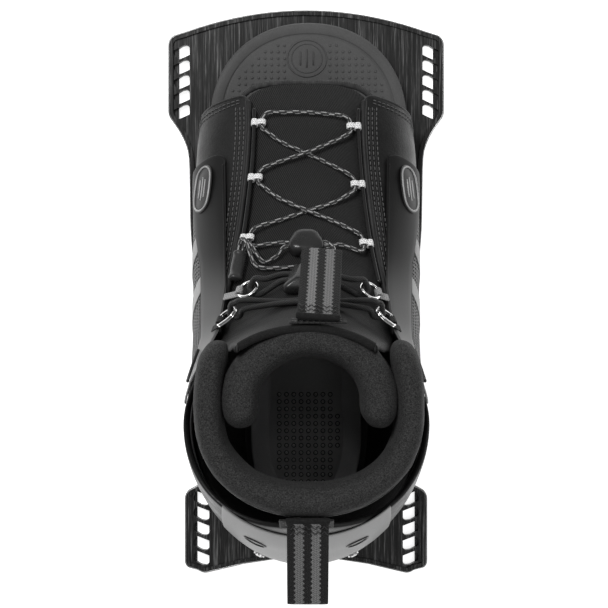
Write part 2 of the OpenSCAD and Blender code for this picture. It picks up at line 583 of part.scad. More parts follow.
module bungee_lock_spring() color("#8f9296") place(upper_at) lock_spring(upper_l);
CUFF_CORD = concat(
  [for (x = [0.3, 14]) on_top(4.78, x, tongue_d - 3)], bight(link_at, 1, 8.2, 2.1, 1.6, 8),
  [for (x = [14, 0, -14]) on_top(4.95, x, tongue_d - 3)], back(bight(link_at, -1, 8.2, 2.1, 1.6, 8)),
  [for (x = [-14, -0.3]) on_top(4.78, x, tongue_d - 3)]);

module cuff_cord() color("#151515") tube(smooth(CUFF_CORD, 2), 3.2);

module cuff_cable(side) color("#1c1c1c") both(side)
  tube([for (i = [0:16]) let (t = i / 16)
    skin(mix(5.05, 6.2, t), mix(59, 66, t) + 4 * sin(180 * t), -3.4)], 1.8, 6);

base_plate();
plate_screws();
tee_nuts();
sole_chassis();
lasting_board();
footbed();
quarter(-1);  // quarter_left
quarter(1);  // quarter_right
liner(-1);  // liner_left
liner(1);  // liner_right
heel_counter();
heel_overlay();
heel_rivets();
side_overlay(-1);  // side_overlay_left
side_overlay(1);  // side_overlay_right
mesh_panel(-1);  // mesh_panel_left
mesh_panel(1);  // mesh_panel_right
badge(-1);  // badge_left
badge(1);  // badge_right
toe_binding();
tongue_lower();
tongue_upper();
tongue_collar();
cuff_collar();
cuff_band();
tab_patch();
front_pull_tab();
rear_pull_tab();
rear_tab_patch();
lace_rod(-1, 3.08);  // lace_rod_left
lace_rod(1, 3.7);  // lace_rod_right
lace_loops(-1);  // lace_loops_left
lace_loops(1);  // lace_loops_right
lace();
lace_end_grip();
lace_lock_body();
lace_lock_button();
lace_lock_spring();
ring(-1);  // ring_left
ring(1);  // ring_right
ring_webbing(-1);  // ring_webbing_left
ring_webbing(1);  // ring_webbing_right
hook_link(-1);  // hook_link_left
hook_link(1);  // hook_link_right
hook_webbing(-1);  // hook_webbing_left
hook_webbing(1);  // hook_webbing_right
cuff_cable(-1);  // cuff_cable_left
cuff_cable(1);  // cuff_cable_right
bungee();
cuff_cord();
bungee_lock_body();
bungee_lock_button();
bungee_lock_spring();
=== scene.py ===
"""Looks of the open-toe water ski boot on its mounting plate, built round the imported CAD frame."""
import math

import bmesh
import bpy
import numpy as np
from mathutils import Matrix, Vector, noise


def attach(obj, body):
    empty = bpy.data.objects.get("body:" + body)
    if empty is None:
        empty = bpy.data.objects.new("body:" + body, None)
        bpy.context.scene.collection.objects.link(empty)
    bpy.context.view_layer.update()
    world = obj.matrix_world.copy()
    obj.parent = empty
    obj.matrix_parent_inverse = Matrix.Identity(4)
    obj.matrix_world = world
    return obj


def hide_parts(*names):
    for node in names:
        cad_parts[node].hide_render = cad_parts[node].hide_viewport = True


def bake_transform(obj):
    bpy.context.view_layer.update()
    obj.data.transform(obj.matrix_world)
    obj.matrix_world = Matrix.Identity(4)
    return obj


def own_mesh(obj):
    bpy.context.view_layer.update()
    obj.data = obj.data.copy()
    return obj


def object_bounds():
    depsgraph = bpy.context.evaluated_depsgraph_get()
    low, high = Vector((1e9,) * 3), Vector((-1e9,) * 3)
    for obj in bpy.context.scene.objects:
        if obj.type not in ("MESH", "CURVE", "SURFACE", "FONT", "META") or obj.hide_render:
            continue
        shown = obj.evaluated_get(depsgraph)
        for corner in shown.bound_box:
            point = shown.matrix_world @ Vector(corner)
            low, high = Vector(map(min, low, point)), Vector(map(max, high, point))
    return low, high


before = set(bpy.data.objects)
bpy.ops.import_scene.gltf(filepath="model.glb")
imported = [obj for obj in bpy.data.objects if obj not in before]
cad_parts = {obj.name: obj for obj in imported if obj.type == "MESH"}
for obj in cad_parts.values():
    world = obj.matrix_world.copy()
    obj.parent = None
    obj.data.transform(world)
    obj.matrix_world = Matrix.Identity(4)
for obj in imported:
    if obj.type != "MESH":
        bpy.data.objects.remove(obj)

CAD_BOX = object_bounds()
SCENE = bpy.context.scene
MM = 0.001

# ---------------------------------------------------------------- camera
# The photograph looks straight down.
CAMERA_HEIGHT = 1.1
GROUND_WIDTH = 0.386  # how much of the ground fills the picture's width
SENSOR = 36
camera_data = bpy.data.cameras.new("camera")
camera = bpy.data.objects.new("camera", camera_data)
SCENE.collection.objects.link(camera)
camera_data.sensor_width = SENSOR
camera_data.lens = SENSOR * CAMERA_HEIGHT / GROUND_WIDTH
camera_data.clip_start, camera_data.clip_end = 0.05, 20
camera.location = (-0.0013, -0.0079, CAMERA_HEIGHT)
SCENE.camera = camera

# ---------------------------------------------------------------- the boot's skin, in millimetres
# Each section: tongue y, tongue z, heel y, heel z, half width, where it is widest, squareness.
SECTIONS = np.array([
    [125, 57, 118, -2, 61, 0.62, 2.6], [101, 68, 97, -4, 66, 0.58, 2.5], [68, 82, 58, -6, 68, 0.55, 2.4],
    [30, 103, 5, -8, 67.5, 0.52, 2.3], [3, 130, -65, -10, 66.5, 0.48, 2.2],
    [-6, 152, -136, -8, 67.5, 0.45, 2.05], [-10, 170, -163.5, 46, 68.5, 0.44, 1.95],
    [-13, 187, -148, 118, 67, 0.46, 2], [-15, 203, -121, 192, 60, 0.48, 2.15]])
THROAT = np.array([36, 34.5, 36, 40.5, 46.5, 50, 53, 55, 53.])  # half width of the lace opening
TONGUE_W = np.array([46, 44, 45, 48, 50, 48, 42, 38, 36.])      # half width of the tongue
SOLE_Z, LINER_Z, FOOTBED_TOP = 8.3, 10.7, 18.1
SHELL_T, TONGUE_T = 3.2, 3.6
TONGUE_D = SHELL_T + 1
LINER_D = SHELL_T + 2.4


def along(table, v):
    """Value of a table at a fractional row, on a smooth spline."""
    v = np.asarray(v, float)
    i = np.clip(np.floor(v), 0, len(table) - 2).astype(int)
    n = len(table) - 1
    a, b, c, d = (table[np.clip(i + k, 0, n)] for k in (-1, 0, 1, 2))
    t = (v - i)[..., None] if table.ndim > 1 else v - i
    return 0.5 * (2 * b + (c - a) * t + (2 * a - 5 * b + 4 * c - d) * t ** 2
                  + (3 * b - a - 3 * c + d) * t ** 3)


def skin(v, u, d):
    """Points of the skin at sections v and angles u (degrees, 0 on the tongue line), d inside it."""
    v, u, d = np.broadcast_arrays(*(np.asarray(x, float) for x in (v, u, d)))
    s = along(SECTIONS, v)
    run = s[..., 2:4] - s[..., 0:2]
    long = np.linalg.norm(run, axis=-1)
    q = 2 / s[..., 6]
    front = s[..., 5] * long
    cu, su = np.cos(np.radians(u)), np.sin(np.radians(u))
    h = np.where(cu >= 0, front - (front - d) * np.abs(cu) ** q,
                 front + (long - front - d) * np.abs(cu) ** q)
    x = (s[..., 4] - d) * np.sign(su) * np.abs(su) ** q
    return np.stack([x, s[..., 0] + run[..., 0] * h / long, s[..., 1] + run[..., 1] * h / long], axis=-1)


def angle_at(v, x, d):
    """Angle of the skin at a distance x from the middle, on the tongue side."""
    s = along(SECTIONS, np.asarray(v, float))
    share = (np.abs(x) / (s[..., 4] - d)) ** (s[..., 6] / 2)
    return np.sign(x) * np.degrees(np.arcsin(np.minimum(1, share)))


def sole_angle(v, d, z):
    """Angle at which section v meets the level z."""
    s = along(SECTIONS, np.asarray(v, float))
    long = np.hypot(s[..., 2] - s[..., 0], s[..., 3] - s[..., 1])
    front = s[..., 5] * long
    h = np.where(s[..., 3] < z, long * (s[..., 1] - z) / np.maximum(s[..., 1] - s[..., 3], 1e-6), long)
    f = (h - front) / (long - front - d)
    g = np.clip((front - h) / (front - d), 0, 1)
    e = s[..., 6] / 2
    low = np.degrees(np.arccos(-np.clip(f, 0, 1) ** e))
    return np.where(f >= 1, 179.6,
                    np.where(f >= 0, np.minimum(179.6, low), np.degrees(np.arccos(g ** e))))


def on_top(v, x, d):
    return skin(v, angle_at(v, x, d), d)


def unit(a):
    a = np.asarray(a, float)
    return a / np.maximum(np.linalg.norm(a, axis=-1, keepdims=True), 1e-12)


def skin_normal(v, u, d):
    back = skin(np.asarray(v) + 0.05, u, d) - skin(np.asarray(v) - 0.05, u, d)
    side = skin(v, np.asarray(u) + 1, d) - skin(v, np.asarray(u) - 1, d)
    return unit(np.cross(back, side))


def skin_frame(v, u, d):
    """Origin and x, y, z directions, with z outwards and y towards the toe."""
    p, out = skin(v, u, d), skin_normal(v, u, d)
    side = unit(skin(v, u + 1, d) - skin(v, u - 1, d))
    x = unit(side - out * (side @ out))
    return p, x, np.cross(out, x), out


def in_frame(f, p):
    return f[0] + f[1] * p[0] + f[2] * p[1] + f[3] * p[2]


def in_all(f, points):
    return [in_frame(f, p) for p in points]


def mirrored(points, side):
    return np.asarray(points) * np.array([side, 1, 1])


def smooth_line(points, m):
    """A spline through points, with m steps between two of them."""
    points = np.asarray(points, float)
    return along(points, np.linspace(0, len(points) - 1, m * (len(points) - 1) + 1))


def run_along(points):
    """Each point's distance from the first, along the line."""
    return np.concatenate([[0], np.cumsum(np.linalg.norm(np.diff(points, axis=0), axis=1))])


def resample(points, step):
    """Points an equal step apart along a line, and their distances."""
    points = np.asarray(points, float)
    run = run_along(points)
    n = max(2, int(round(run[-1] / step)) + 1)
    t = np.linspace(0, run[-1], n)
    return np.stack([np.interp(t, run, points[:, k]) for k in range(3)], axis=1), t


def lookup(t, table):
    table = np.array(table, float)
    return np.interp(t, table[:, 0], table[:, 1])


def signed_power(a, power):
    """Rounds a cosine or sine off towards a square one."""
    return np.sign(a) * np.abs(a) ** power


def mix(a, b, t):
    return a + (b - a) * t


# ---------------------------------------------------------------- meshes
def make(name, verts, faces, material, uv=None, body="boot", smooth=True):
    """A mesh piece from points in millimetres. uv gives two numbers for each face corner."""
    mesh = bpy.data.meshes.new(name)
    mesh.from_pydata([tuple(p) for p in np.asarray(verts, float) * MM], [], [tuple(f) for f in faces])
    if uv is not None:
        layer = mesh.uv_layers.new(name="grain")
        layer.data.foreach_set("uv", np.asarray(uv, np.float32).ravel())
    mesh.validate()
    piece = bpy.data.objects.new(name, mesh)
    SCENE.collection.objects.link(piece)
    mesh.materials.append(material)
    if smooth:
        mesh.shade_smooth()
    if body:
        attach(piece, body)
    return piece


def make_parts(name, parts, material, body="boot"):
    """A mesh piece from (verts, faces, uv)."""
    return make(name, parts[0], parts[1], material, parts[2], body)


def ring_faces(count, lower):
    """Faces between ring number lower and the next, of count points each."""
    a, b = lower * count, (lower + 1) * count
    return [[a + i, a + (i + 1) % count, b + (i + 1) % count, b + i] for i in range(count)]


def finish_normals(piece, angle=None):
    """Faces turned outwards, and sharp edges kept above an angle."""
    bm = bmesh.new()
    bm.from_mesh(piece.data)
    bmesh.ops.recalc_face_normals(bm, faces=bm.faces)
    if angle:
        for e in bm.edges:
            e.smooth = len(e.link_faces) != 2 or e.calc_face_angle(0) < math.radians(angle)
    bm.to_mesh(piece.data)
    bm.free()
    return piece


def grid_lengths(points):
    """For each grid point, its distance in millimetres along its row and down the middle column."""
    across = np.concatenate([np.zeros((points.shape[0], 1)),
                             np.cumsum(np.linalg.norm(np.diff(points, axis=1), axis=2), axis=1)], axis=1)
    across -= across[:, -1:] / 2
    middle = points[:, points.shape[1] // 2]
    down = run_along(middle)
    return np.stack([across, np.repeat(down[:, None], points.shape[1], axis=1)], axis=-1)


def closed_sheet(name, outer, inner, material, body="boot", bulge=0.9, rim=4):
    """A closed sheet between two grids of points, with a rounded rim."""
    rows, cols = outer.shape[:2]
    uv_grid = grid_lengths(outer).reshape(-1, 2)
    count = rows * cols
    idx = np.arange(count).reshape(rows, cols)
    verts = [outer.reshape(-1, 3), inner.reshape(-1, 3)]
    quads = np.stack([idx[:-1, :-1], idx[:-1, 1:], idx[1:, 1:], idx[1:, :-1]], axis=-1).reshape(-1, 4)
    faces = [list(q) for q in quads] + [[a + count, d + count, c + count, b + count] for a, b, c, d in quads]
    edge = np.concatenate([idx[0, :-1], idx[:-1, -1], idx[-1, :0:-1], idx[:0:-1, 0]])
    inside = np.concatenate([idx[1, :-1], idx[:-1, -2], idx[-2, :0:-1], idx[:0:-1, 1]])
    flat_out = outer.reshape(-1, 3)
    away = unit(flat_out[edge] - flat_out[inside])
    corner = [0, cols - 1, cols + rows - 2, 2 * cols + rows - 3]
    for c in corner:
        away[c] = unit(away[c - 1] + away[(c + 1) % len(away)])
    a, b = flat_out[edge], inner.reshape(-1, 3)[edge]
    middle, half = (a + b) / 2, (a - b) / 2
    reach = np.linalg.norm(half, axis=1, keepdims=True) * bulge
    loops = [edge]
    for k in range(1, rim):
        turn = math.pi * k / rim
        loops.append(np.arange(len(edge)) + sum(len(v) for v in verts))
        verts.append(middle + half * math.cos(turn) + away * reach * math.sin(turn))
    loops.append(edge + count)
    n = len(edge)
    extra_uv = np.concatenate([uv_grid, uv_grid] + [uv_grid[edge]] * (rim - 1))
    for k in range(rim):
        for i in range(n):
            j = (i + 1) % n
            faces.append([loops[k][i], loops[k + 1][i], loops[k + 1][j], loops[k][j]])
    uv = extra_uv[np.array([i for f in faces for i in f])]
    piece = make(name, np.concatenate(verts), faces, material, uv, body)
    return finish_normals(piece)


def patch(name, ns, nt, d0, d1, at, material, side=1, **more):
    """Closed piece of the skin from depth d0 to depth d1; at(s, t, d) gives section and angle."""
    s, t = np.meshgrid(np.linspace(0, 1, ns + 1), np.linspace(0, 1, nt + 1))
    grids = []
    for d in (d0, d1):
        depth = d(s, t) if callable(d) else np.full(s.shape, float(d))
        v, u = at(s, t, depth)
        grids.append(mirrored(skin(v, u, depth), side))
    return closed_sheet(name, grids[0], grids[1], material, **more)


def frames_along(points):
    """A turning-free frame at each point of a line."""
    points = np.asarray(points, float)
    ahead = unit(np.gradient(points, axis=0))
    first = np.cross(ahead[0], [0, 0, 1] if abs(ahead[0][2]) < 0.9 else [1, 0, 0])
    sides = [unit(first)]
    for t in ahead[1:]:
        sides.append(unit(sides[-1] - t * (t @ sides[-1])))
    sides = np.array(sides)
    return ahead, sides, np.cross(ahead, sides)


def tube_parts(points, radius, sides=12, shape=None, close=False):
    """Points, faces and face-corner coordinates of a tube.

    radius is a number, one number per ring, or a function of the distance along the tube and round it."""
    points = np.asarray(points, float)
    ahead, a, b = frames_along(points)
    n = len(points)
    run = run_along(points)
    turn = np.arange(sides) * 2 * math.pi / sides
    if callable(radius):
        radius = radius(run[:, None], turn[None, :])
    elif np.ndim(radius):
        radius = np.reshape(radius, (-1, 1))
    r = np.broadcast_to(np.asarray(radius, float), (n, sides))
    wide, high = (1, 1) if shape is None else shape
    rings = points[:, None] + r[..., None] * (wide * np.cos(turn)[None, :, None] * a[:, None]
                                              + high * np.sin(turn)[None, :, None] * b[:, None])
    verts = list(rings.reshape(-1, 3))
    faces, uv = [], []
    last = n if close else n - 1
    for i in range(last):
        for k in range(sides):
            j, m = (i + 1) % n, (k + 1) % sides
            faces.append([i * sides + k, i * sides + m, j * sides + m, j * sides + k])
            y0 = run[i]
            y1 = run[i + 1] if i + 1 < n else run[i] + np.linalg.norm(points[0] - points[-1])
            uv += [(k / sides, y0), ((k + 1) / sides, y0), ((k + 1) / sides, y1), (k / sides, y1)]
    if not close:
        for ring, tip in ((0, -1), (n - 1, 1)):
            verts.append(points[ring] + ahead[ring] * tip * float(np.mean(r[ring])) * 0.35)
            c = len(verts) - 1
            for k in range(sides):
                m = (k + 1) % sides
                f = [ring * sides + m, ring * sides + k, c]
                faces.append(f if tip < 0 else f[::-1])
                uv += [(k / sides, run[ring])] * 3
    return np.array(verts), faces, np.array(uv)


def tube(name, points, radius, material, sides=12, body="boot", **more):
    return make_parts(name, tube_parts(points, radius, sides, **more), material, body)


def gather(parts):
    """Several (verts, faces, uv) as one."""
    verts, faces, uv, base = [], [], [], 0
    for v, f, w in parts:
        verts.append(np.asarray(v))
        faces += [[i + base for i in face] for face in f]
        uv.append(np.asarray(w, float).reshape(-1, 2))
        base += len(v)
    return np.concatenate(verts), faces, np.concatenate(uv)


def stitch_parts(line, normals, pitch, length, radius, lift=0.25, slant=0.0):
    """Stitches that lie along a line: one small tapered thread each."""
    line = np.asarray(line, float)
    run = run_along(line)
    parts = []
    for start in np.arange(pitch * 0.4, run[-1] - length, pitch):
        mids = start + length * np.array([0, 0.2, 0.5, 0.8, 1.0])
        p = np.stack([np.interp(mids, run, line[:, k]) for k in range(3)], axis=1)
        nrm = unit(np.stack([np.interp(mids, run, normals[:, k]) for k in range(3)], axis=1))
        ahead = unit(p[-1] - p[0])
        sideways = np.cross(nrm, ahead)
        rise = np.array([-0.5, 0.5, 1, 0.5, -0.5])[:, None] * lift
        p = p + nrm * rise + sideways * (np.linspace(-1, 1, 5) * slant)[:, None]
        parts.append(tube_parts(p, radius * np.array([0.6, 0.95, 1.05, 0.95, 0.6]), 6))
    return parts


def subdivide(piece, levels=1):
    mod = piece.modifiers.new("smooth", "SUBSURF")
    mod.levels = mod.render_levels = levels
    apply_modifiers(piece)
    return piece


def apply_modifiers(piece):
    """Bakes a piece's modifiers into its mesh."""
    graph = bpy.context.evaluated_depsgraph_get()
    mesh = bpy.data.meshes.new_from_object(piece.evaluated_get(graph))
    old = piece.data
    piece.modifiers.clear()
    piece.data = mesh
    mesh.name = piece.name
    bpy.data.meshes.remove(old)
    return piece


def displace(piece, amount):
    """Moves each vertex along its normal by amount(point in millimetres) millimetres."""
    mesh = piece.data
    co = np.zeros(len(mesh.vertices) * 3, np.float32)
    mesh.vertices.foreach_get("co", co)
    normals = np.zeros(len(mesh.vertices) * 3, np.float32)
    mesh.vertex_normals.foreach_get("vector", normals)
    co, normals = co.reshape(-1, 3), normals.reshape(-1, 3)
    move = np.array([amount(p * 1000.0) for p in co], np.float32)
    mesh.vertices.foreach_set("co", (co + normals * move[:, None] * MM).ravel())
    mesh.update()
    return piece


def wrinkle(size, depth, seed=0.0):
    """Soft noise of a size in millimetres."""
    return lambda p: depth * noise.noise(Vector((p[0] / size + seed, p[1] / size, p[2] / size)))


# ---------------------------------------------------------------- materials
class Paint:
    """Builds one node material.

    A pattern's place is in metres on the object or, with grain(), in the piece's own millimetres."""

    def __init__(self, name, rough=0.5, metal=0.0, level=0.5, sheen=0.0, coat=0.0, coat_rough=0.1):
        self.mat = bpy.data.materials.new(name)
        self.mat.use_nodes = True
        self.tree = self.mat.node_tree
        self.shader = self.tree.nodes["Principled BSDF"]
        for socket, value in (
                ("Roughness", rough), ("Metallic", metal), ("Specular IOR Level", level),
                ("Sheen Weight", sheen), ("Sheen Roughness", 0.5), ("Coat Weight", coat),
                ("Coat Roughness", coat_rough)):
            self.shader.inputs[socket].default_value = value
        self.at = 0

    def feed(self, socket, value):
        """Links a socket to a node's output, or sets it to a plain value."""
        if isinstance(value, bpy.types.NodeSocket):
            self.tree.links.new(value, socket)
        else:
            socket.default_value = value

    def node(self, kind, inputs=None, **settings):
        made = self.tree.nodes.new("ShaderNode" + kind)
        made.location = (-200 * (self.at // 6 + 1), 200 * (self.at % 6))
        self.at += 1
        for key, value in settings.items():
            setattr(made, key, value)
        for key, value in (inputs or {}).items():
            self.feed(made.inputs[key], value)
        return made

    def place(self, scale=(1, 1, 1), turn=(0, 0, 0)):
        """The point's place on the whole object, in metres, stretched."""
        here = self.node("TexCoord").outputs["Object"]
        return self.node("Mapping", {"Vector": here, "Scale": scale, "Rotation": turn}).outputs[0]

    def grain(self, scale=(1, 1, 1), turn=0.0):
        """The piece's own two coordinates."""
        here = self.node("UVMap", uv_map="grain").outputs[0]
        return self.node("Mapping", {"Vector": here, "Scale": scale, "Rotation": (0, 0, turn)}).outputs[0]

    def noise(self, where, scale, detail=2.0, rough=0.5):
        made = self.node("TexNoise", {"Vector": where, "Scale": scale, "Detail": detail, "Roughness": rough})
        return made.outputs[0]

    def cells(self, where, scale, feature="F1", random=1.0):
        inputs = {"Vector": where, "Scale": scale, "Randomness": random}
        return self.node("TexVoronoi", inputs, feature=feature).outputs["Distance"]

    def maths(self, what, a, b=0.0, c=0.0):
        made = self.node("Math", operation=what)
        for socket, value in zip(made.inputs, (a, b, c)):
            self.feed(socket, value)
        return made.outputs[0]

    def sum(self, a, share_a, b, share_b):
        """a times its share plus b times its share."""
        return self.maths("ADD", self.maths("MULTIPLY", a, share_a), self.maths("MULTIPLY", b, share_b))

    def ramp(self, value, stops, smooth=False):
        made = self.node("ValToRGB", {"Fac": value})
        bar = made.color_ramp
        bar.interpolation = "EASE" if smooth else "LINEAR"
        bar.elements[0].position, bar.elements[1].position = stops[0][0], stops[-1][0]
        for at, _ in stops[1:-1]:
            bar.elements.new(at)
        for element, (_, c) in zip(bar.elements, stops):
            element.color = (c, c, c, 1) if np.ndim(c) == 0 else (*c, 1)
        return made.outputs[0]

    def blend(self, how_much, a, b, mode="MIX"):
        made = self.node("Mix", data_type="RGBA", blend_type=mode)
        for socket, value in ((made.inputs[0], how_much), (made.inputs[6], a), (made.inputs[7], b)):
            if socket.type == "RGBA" and not isinstance(value, bpy.types.NodeSocket):
                value = (value, value, value, 1)
            self.feed(socket, value)
        return made.outputs[2]

    def axis(self, where, which):
        return self.node("SeparateXYZ", {"Vector": where}).outputs[which]

    def wave(self, value, pitch):
        """0 to 1 and back over each pitch of a value."""
        turned = self.maths("SINE", self.maths("MULTIPLY", value, 2 * math.pi / pitch))
        return self.maths("MULTIPLY_ADD", turned, 0.5, 0.5)

    def colour(self, value):
        self.tree.links.new(value, self.shader.inputs["Base Color"])
        return self

    def roughness(self, value):
        self.tree.links.new(value, self.shader.inputs["Roughness"])
        return self

    def relief(self, height, distance, strength=1.0):
        """Bumps of height (0 to 1) times a distance in metres."""
        under = self.shader.inputs["Normal"].links
        made = self.node("Bump", {"Height": height, "Distance": distance, "Strength": strength})
        if under:
            self.tree.links.new(under[0].from_socket, made.inputs["Normal"])
        self.tree.links.new(made.outputs[0], self.shader.inputs["Normal"])
        return self


def anodised():
    """Black anodised aluminium with fine scratches along the plate."""
    p = Paint("plate_anodised", rough=0.42, metal=0.2, level=0.3)
    streak = p.noise(p.place((1, 0.022, 1)), 1500, 3, 0.7)
    broad = p.noise(p.place((1, 0.05, 1)), 300, 2, 0.5)
    both = p.sum(streak, 0.75, broad, 0.25)
    p.colour(p.ramp(both, [(0.42, 0.002), (0.50, 0.008), (0.56, 0.035), (0.66, 0.16)]))
    p.roughness(p.ramp(both, [(0.4, 0.5), (0.6, 0.32)]))
    return p.relief(both, 0.00012, 0.7).mat


def metal(name, tone, rough, grain=900.0):
    p = Paint(name, rough=rough, metal=1.0)
    fine = p.noise(p.place(), grain, 4, 0.6)
    p.colour(p.ramp(fine, [(0.3, tone * 0.85), (0.7, min(1, tone * 1.08))]))
    p.roughness(p.ramp(fine, [(0.3, rough * 0.7), (0.7, rough * 1.5)]))
    return p.relief(fine, 0.00002, 0.5).mat


def leather(name, dark=0.004, light=0.016, rough=0.38):
    """Black grained leather: cells a millimetre wide with creases, a little lighter on the high spots."""
    p = Paint(name, rough=rough, level=0.22, coat=0.02, coat_rough=0.25)
    here = p.place()
    cell = p.cells(here, 950, "F1")
    crease = p.cells(here, 420, "DISTANCE_TO_EDGE")
    big = p.noise(here, 55, 3, 0.55)
    high = p.sum(cell, -0.6, p.ramp(crease, [(0.0, 0.0), (0.12, 1.0)]), 0.4)
    tone = p.sum(big, 0.7, high, 0.3)
    p.colour(p.ramp(tone, [(0.2, dark), (0.7, light)]))
    worn = p.maths("ADD", big, p.maths("MULTIPLY", high, 0.3))
    p.roughness(p.ramp(worn, [(0.25, rough + 0.16), (0.8, rough - 0.08)]))
    return p.relief(high, 0.00016, 0.55).relief(big, 0.0006, 0.25).mat


def twill(name, pitch=1.02, dark=0.002, light=0.034):
    """Tightly woven cloth with steep diagonal ribs."""
    p = Paint(name, rough=0.62, level=0.14, sheen=0.02)
    g = p.grain(turn=math.radians(24))
    rib = p.wave(p.axis(g, 0), pitch)
    cross = p.wave(p.axis(g, 1), pitch * 0.62)
    fuzz = p.noise(p.place(), 1500, 2)
    height = p.sum(rib, 0.75, p.maths("MULTIPLY", rib, cross), 0.25)
    tone = p.sum(height, 0.75, fuzz, 0.25)
    p.colour(p.ramp(tone, [(0.15, dark), (0.85, light)]))
    return p.relief(height, 0.00028, 0.8).relief(p.noise(p.place(), 60, 2), 0.0008, 0.35).mat


def neoprene(name, dark=0.004, light=0.06):
    """Charcoal plush-faced neoprene with a pepper-and-salt speckle."""
    p = Paint(name, rough=0.85, level=0.12, sheen=0.02)
    fine = p.noise(p.place(), 1500, 3, 0.75)
    coarse = p.noise(p.place(), 520, 2, 0.6)
    tone = p.sum(fine, 0.86, coarse, 0.14)
    p.colour(p.ramp(tone, [(0.34, dark), (0.5, (dark + light) * 0.42), (0.68, light)]))
    return p.relief(fine, 0.00035, 0.8).relief(p.noise(p.place(), 70, 2), 0.0009, 0.3).mat


def lining(name, dark=0.006, light=0.022):
    """Fine black knit, slightly lighter where it is brushed."""
    p = Paint(name, rough=0.8, level=0.1, sheen=0.02)
    g = p.grain()
    knit = p.maths("MULTIPLY", p.wave(p.axis(g, 0), 1.3), p.wave(p.axis(g, 1), 1.0))
    tone = p.sum(knit, 0.4, p.noise(p.place(), 260, 4, 0.6), 0.6)
    p.colour(p.ramp(tone, [(0.2, dark), (0.75, light)]))
    return p.relief(knit, 0.0003, 0.7).relief(p.noise(p.place(), 45, 3), 0.0012, 0.4).mat


def webbing(name, wide, stripes):
    """Woven strap: chevron picks across, and stripes along it, given as (end, tone) across the width."""
    p = Paint(name, rough=0.68, level=0.15, sheen=0.02)
    g = p.grain()
    x, y = p.axis(g, 0), p.axis(g, 1)
    across = p.maths("DIVIDE", p.maths("ADD", x, wide / 2), wide)
    waver = p.maths("MULTIPLY", p.maths("SUBTRACT", p.wave(y, 3.1), 0.5), 0.042)
    across = p.maths("ADD", across, waver)
    made = p.node("ValToRGB", {"Fac": across})
    bar = made.color_ramp
    bar.interpolation = "CONSTANT"
    bar.elements.remove(bar.elements[1])
    bar.elements[0].position = 0.0
    for end, _ in stripes[:-1]:
        bar.elements.new(end)
    for element, (_, tone) in zip(bar.elements, stripes):
        element.color = (tone, tone, tone, 1)
    chevron = p.maths("ADD", y, p.maths("MULTIPLY", p.maths("PINGPONG", x, 1.45), 0.9))
    pick = p.wave(chevron, 1.45)
    cord = p.wave(x, 1.45)
    weave = p.maths("MULTIPLY_ADD", pick, 0.65, p.maths("MULTIPLY", cord, 0.35))
    fuzz = p.noise(p.place(), 1300, 2)
    shade = p.ramp(p.sum(weave, 0.7, fuzz, 0.3), [(0.1, 0.45), (0.8, 1.25)])
    p.colour(p.blend(1.0, made.outputs[0], shade, "MULTIPLY"))
    return p.relief(weave, 0.0004, 0.85).mat


def rubber(name, dark, light, rough=0.6):
    """Moulded foam rubber with a fine tooth."""
    p = Paint(name, rough=rough, level=0.22)
    fine = p.noise(p.place(), 1700, 3, 0.6)
    cloud = p.noise(p.place(), 28, 3, 0.5)
    p.colour(p.ramp(p.sum(fine, 0.45, cloud, 0.55), [(0.3, dark), (0.7, light)]))
    p.roughness(p.ramp(fine, [(0.3, rough + 0.1), (0.7, rough - 0.1)]))
    return p.relief(fine, 0.00006, 0.6).mat


def plastic(name, tone, rough=0.35, spread=0.25, tooth=2200.0):
    p = Paint(name, rough=rough, level=0.32)
    fine = p.noise(p.place(), tooth, 2)
    cloud = p.noise(p.place(), 90, 2)
    p.colour(p.ramp(cloud, [(0.25, tone * (1 - spread)), (0.75, tone * (1 + spread))]))
    p.roughness(p.ramp(p.sum(fine, 0.5, cloud, 0.5), [(0.3, rough + 0.08), (0.7, rough - 0.08)]))
    return p.relief(fine, 0.00003, 0.6).mat


def fading(name, stops, y0, y1, rough=0.38, slope=0.0):
    """Moulded trim whose tone fades along the boot, from y0 to y1 in metres."""
    p = Paint(name, rough=rough, level=0.14)
    here = p.place()
    way = p.maths("ADD", p.axis(here, 1), p.maths("MULTIPLY", p.axis(here, 2), slope))
    t = p.node("MapRange", {"Value": way, "From Min": y0, "From Max": y1}).outputs[0]
    fine = p.noise(here, 2600, 2)
    tooth = p.ramp(fine, [(0.3, 0.0), (0.7, 0.6)])
    p.colour(p.blend(0.12, p.ramp(t, stops, smooth=True), tooth, "OVERLAY"))
    return p.relief(fine, 0.00005, 0.6).mat


def braid(name, dark, light, fleck=None, pitch=8.4, share=0.4, picks=14):
    """Round braided cord. The first coordinate goes once round it, the second along it in millimetres."""
    p = Paint(name, rough=0.5, level=0.25, sheen=0.02)
    g = p.grain()
    u, v = p.axis(g, 0), p.axis(g, 1)
    a = p.maths("MULTIPLY_ADD", v, 0.62, p.maths("MULTIPLY", u, picks / 2))
    b = p.maths("MULTIPLY_ADD", v, -0.62, p.maths("MULTIPLY", u, picks / 2))
    weave = p.maths("MULTIPLY", p.wave(a, 1.0), p.wave(b, 1.0))
    tone = p.sum(weave, 0.8, p.noise(p.place(), 1600, 2), 0.3)
    base = p.ramp(tone, [(0.1, dark), (0.8, light)])
    if fleck:
        strand = p.maths("FLOOR", p.maths("MULTIPLY", u, 7.0))
        way = p.maths("FRACT", p.maths("MULTIPLY_ADD", v, 1 / pitch, p.maths("MULTIPLY", strand, 0.43)))
        inside = p.maths("FRACT", p.maths("MULTIPLY", u, 7.0))
        on = p.maths("MULTIPLY", p.maths("LESS_THAN", way, share), p.maths("GREATER_THAN", inside, 0.3))
        strong = p.maths("MULTIPLY", on, p.ramp(weave, [(0.0, 0.5), (0.35, 1.0)]))
        base = p.blend(strong, base, fleck)
    p.colour(base)
    return p.relief(weave, 0.0003, 0.9).mat


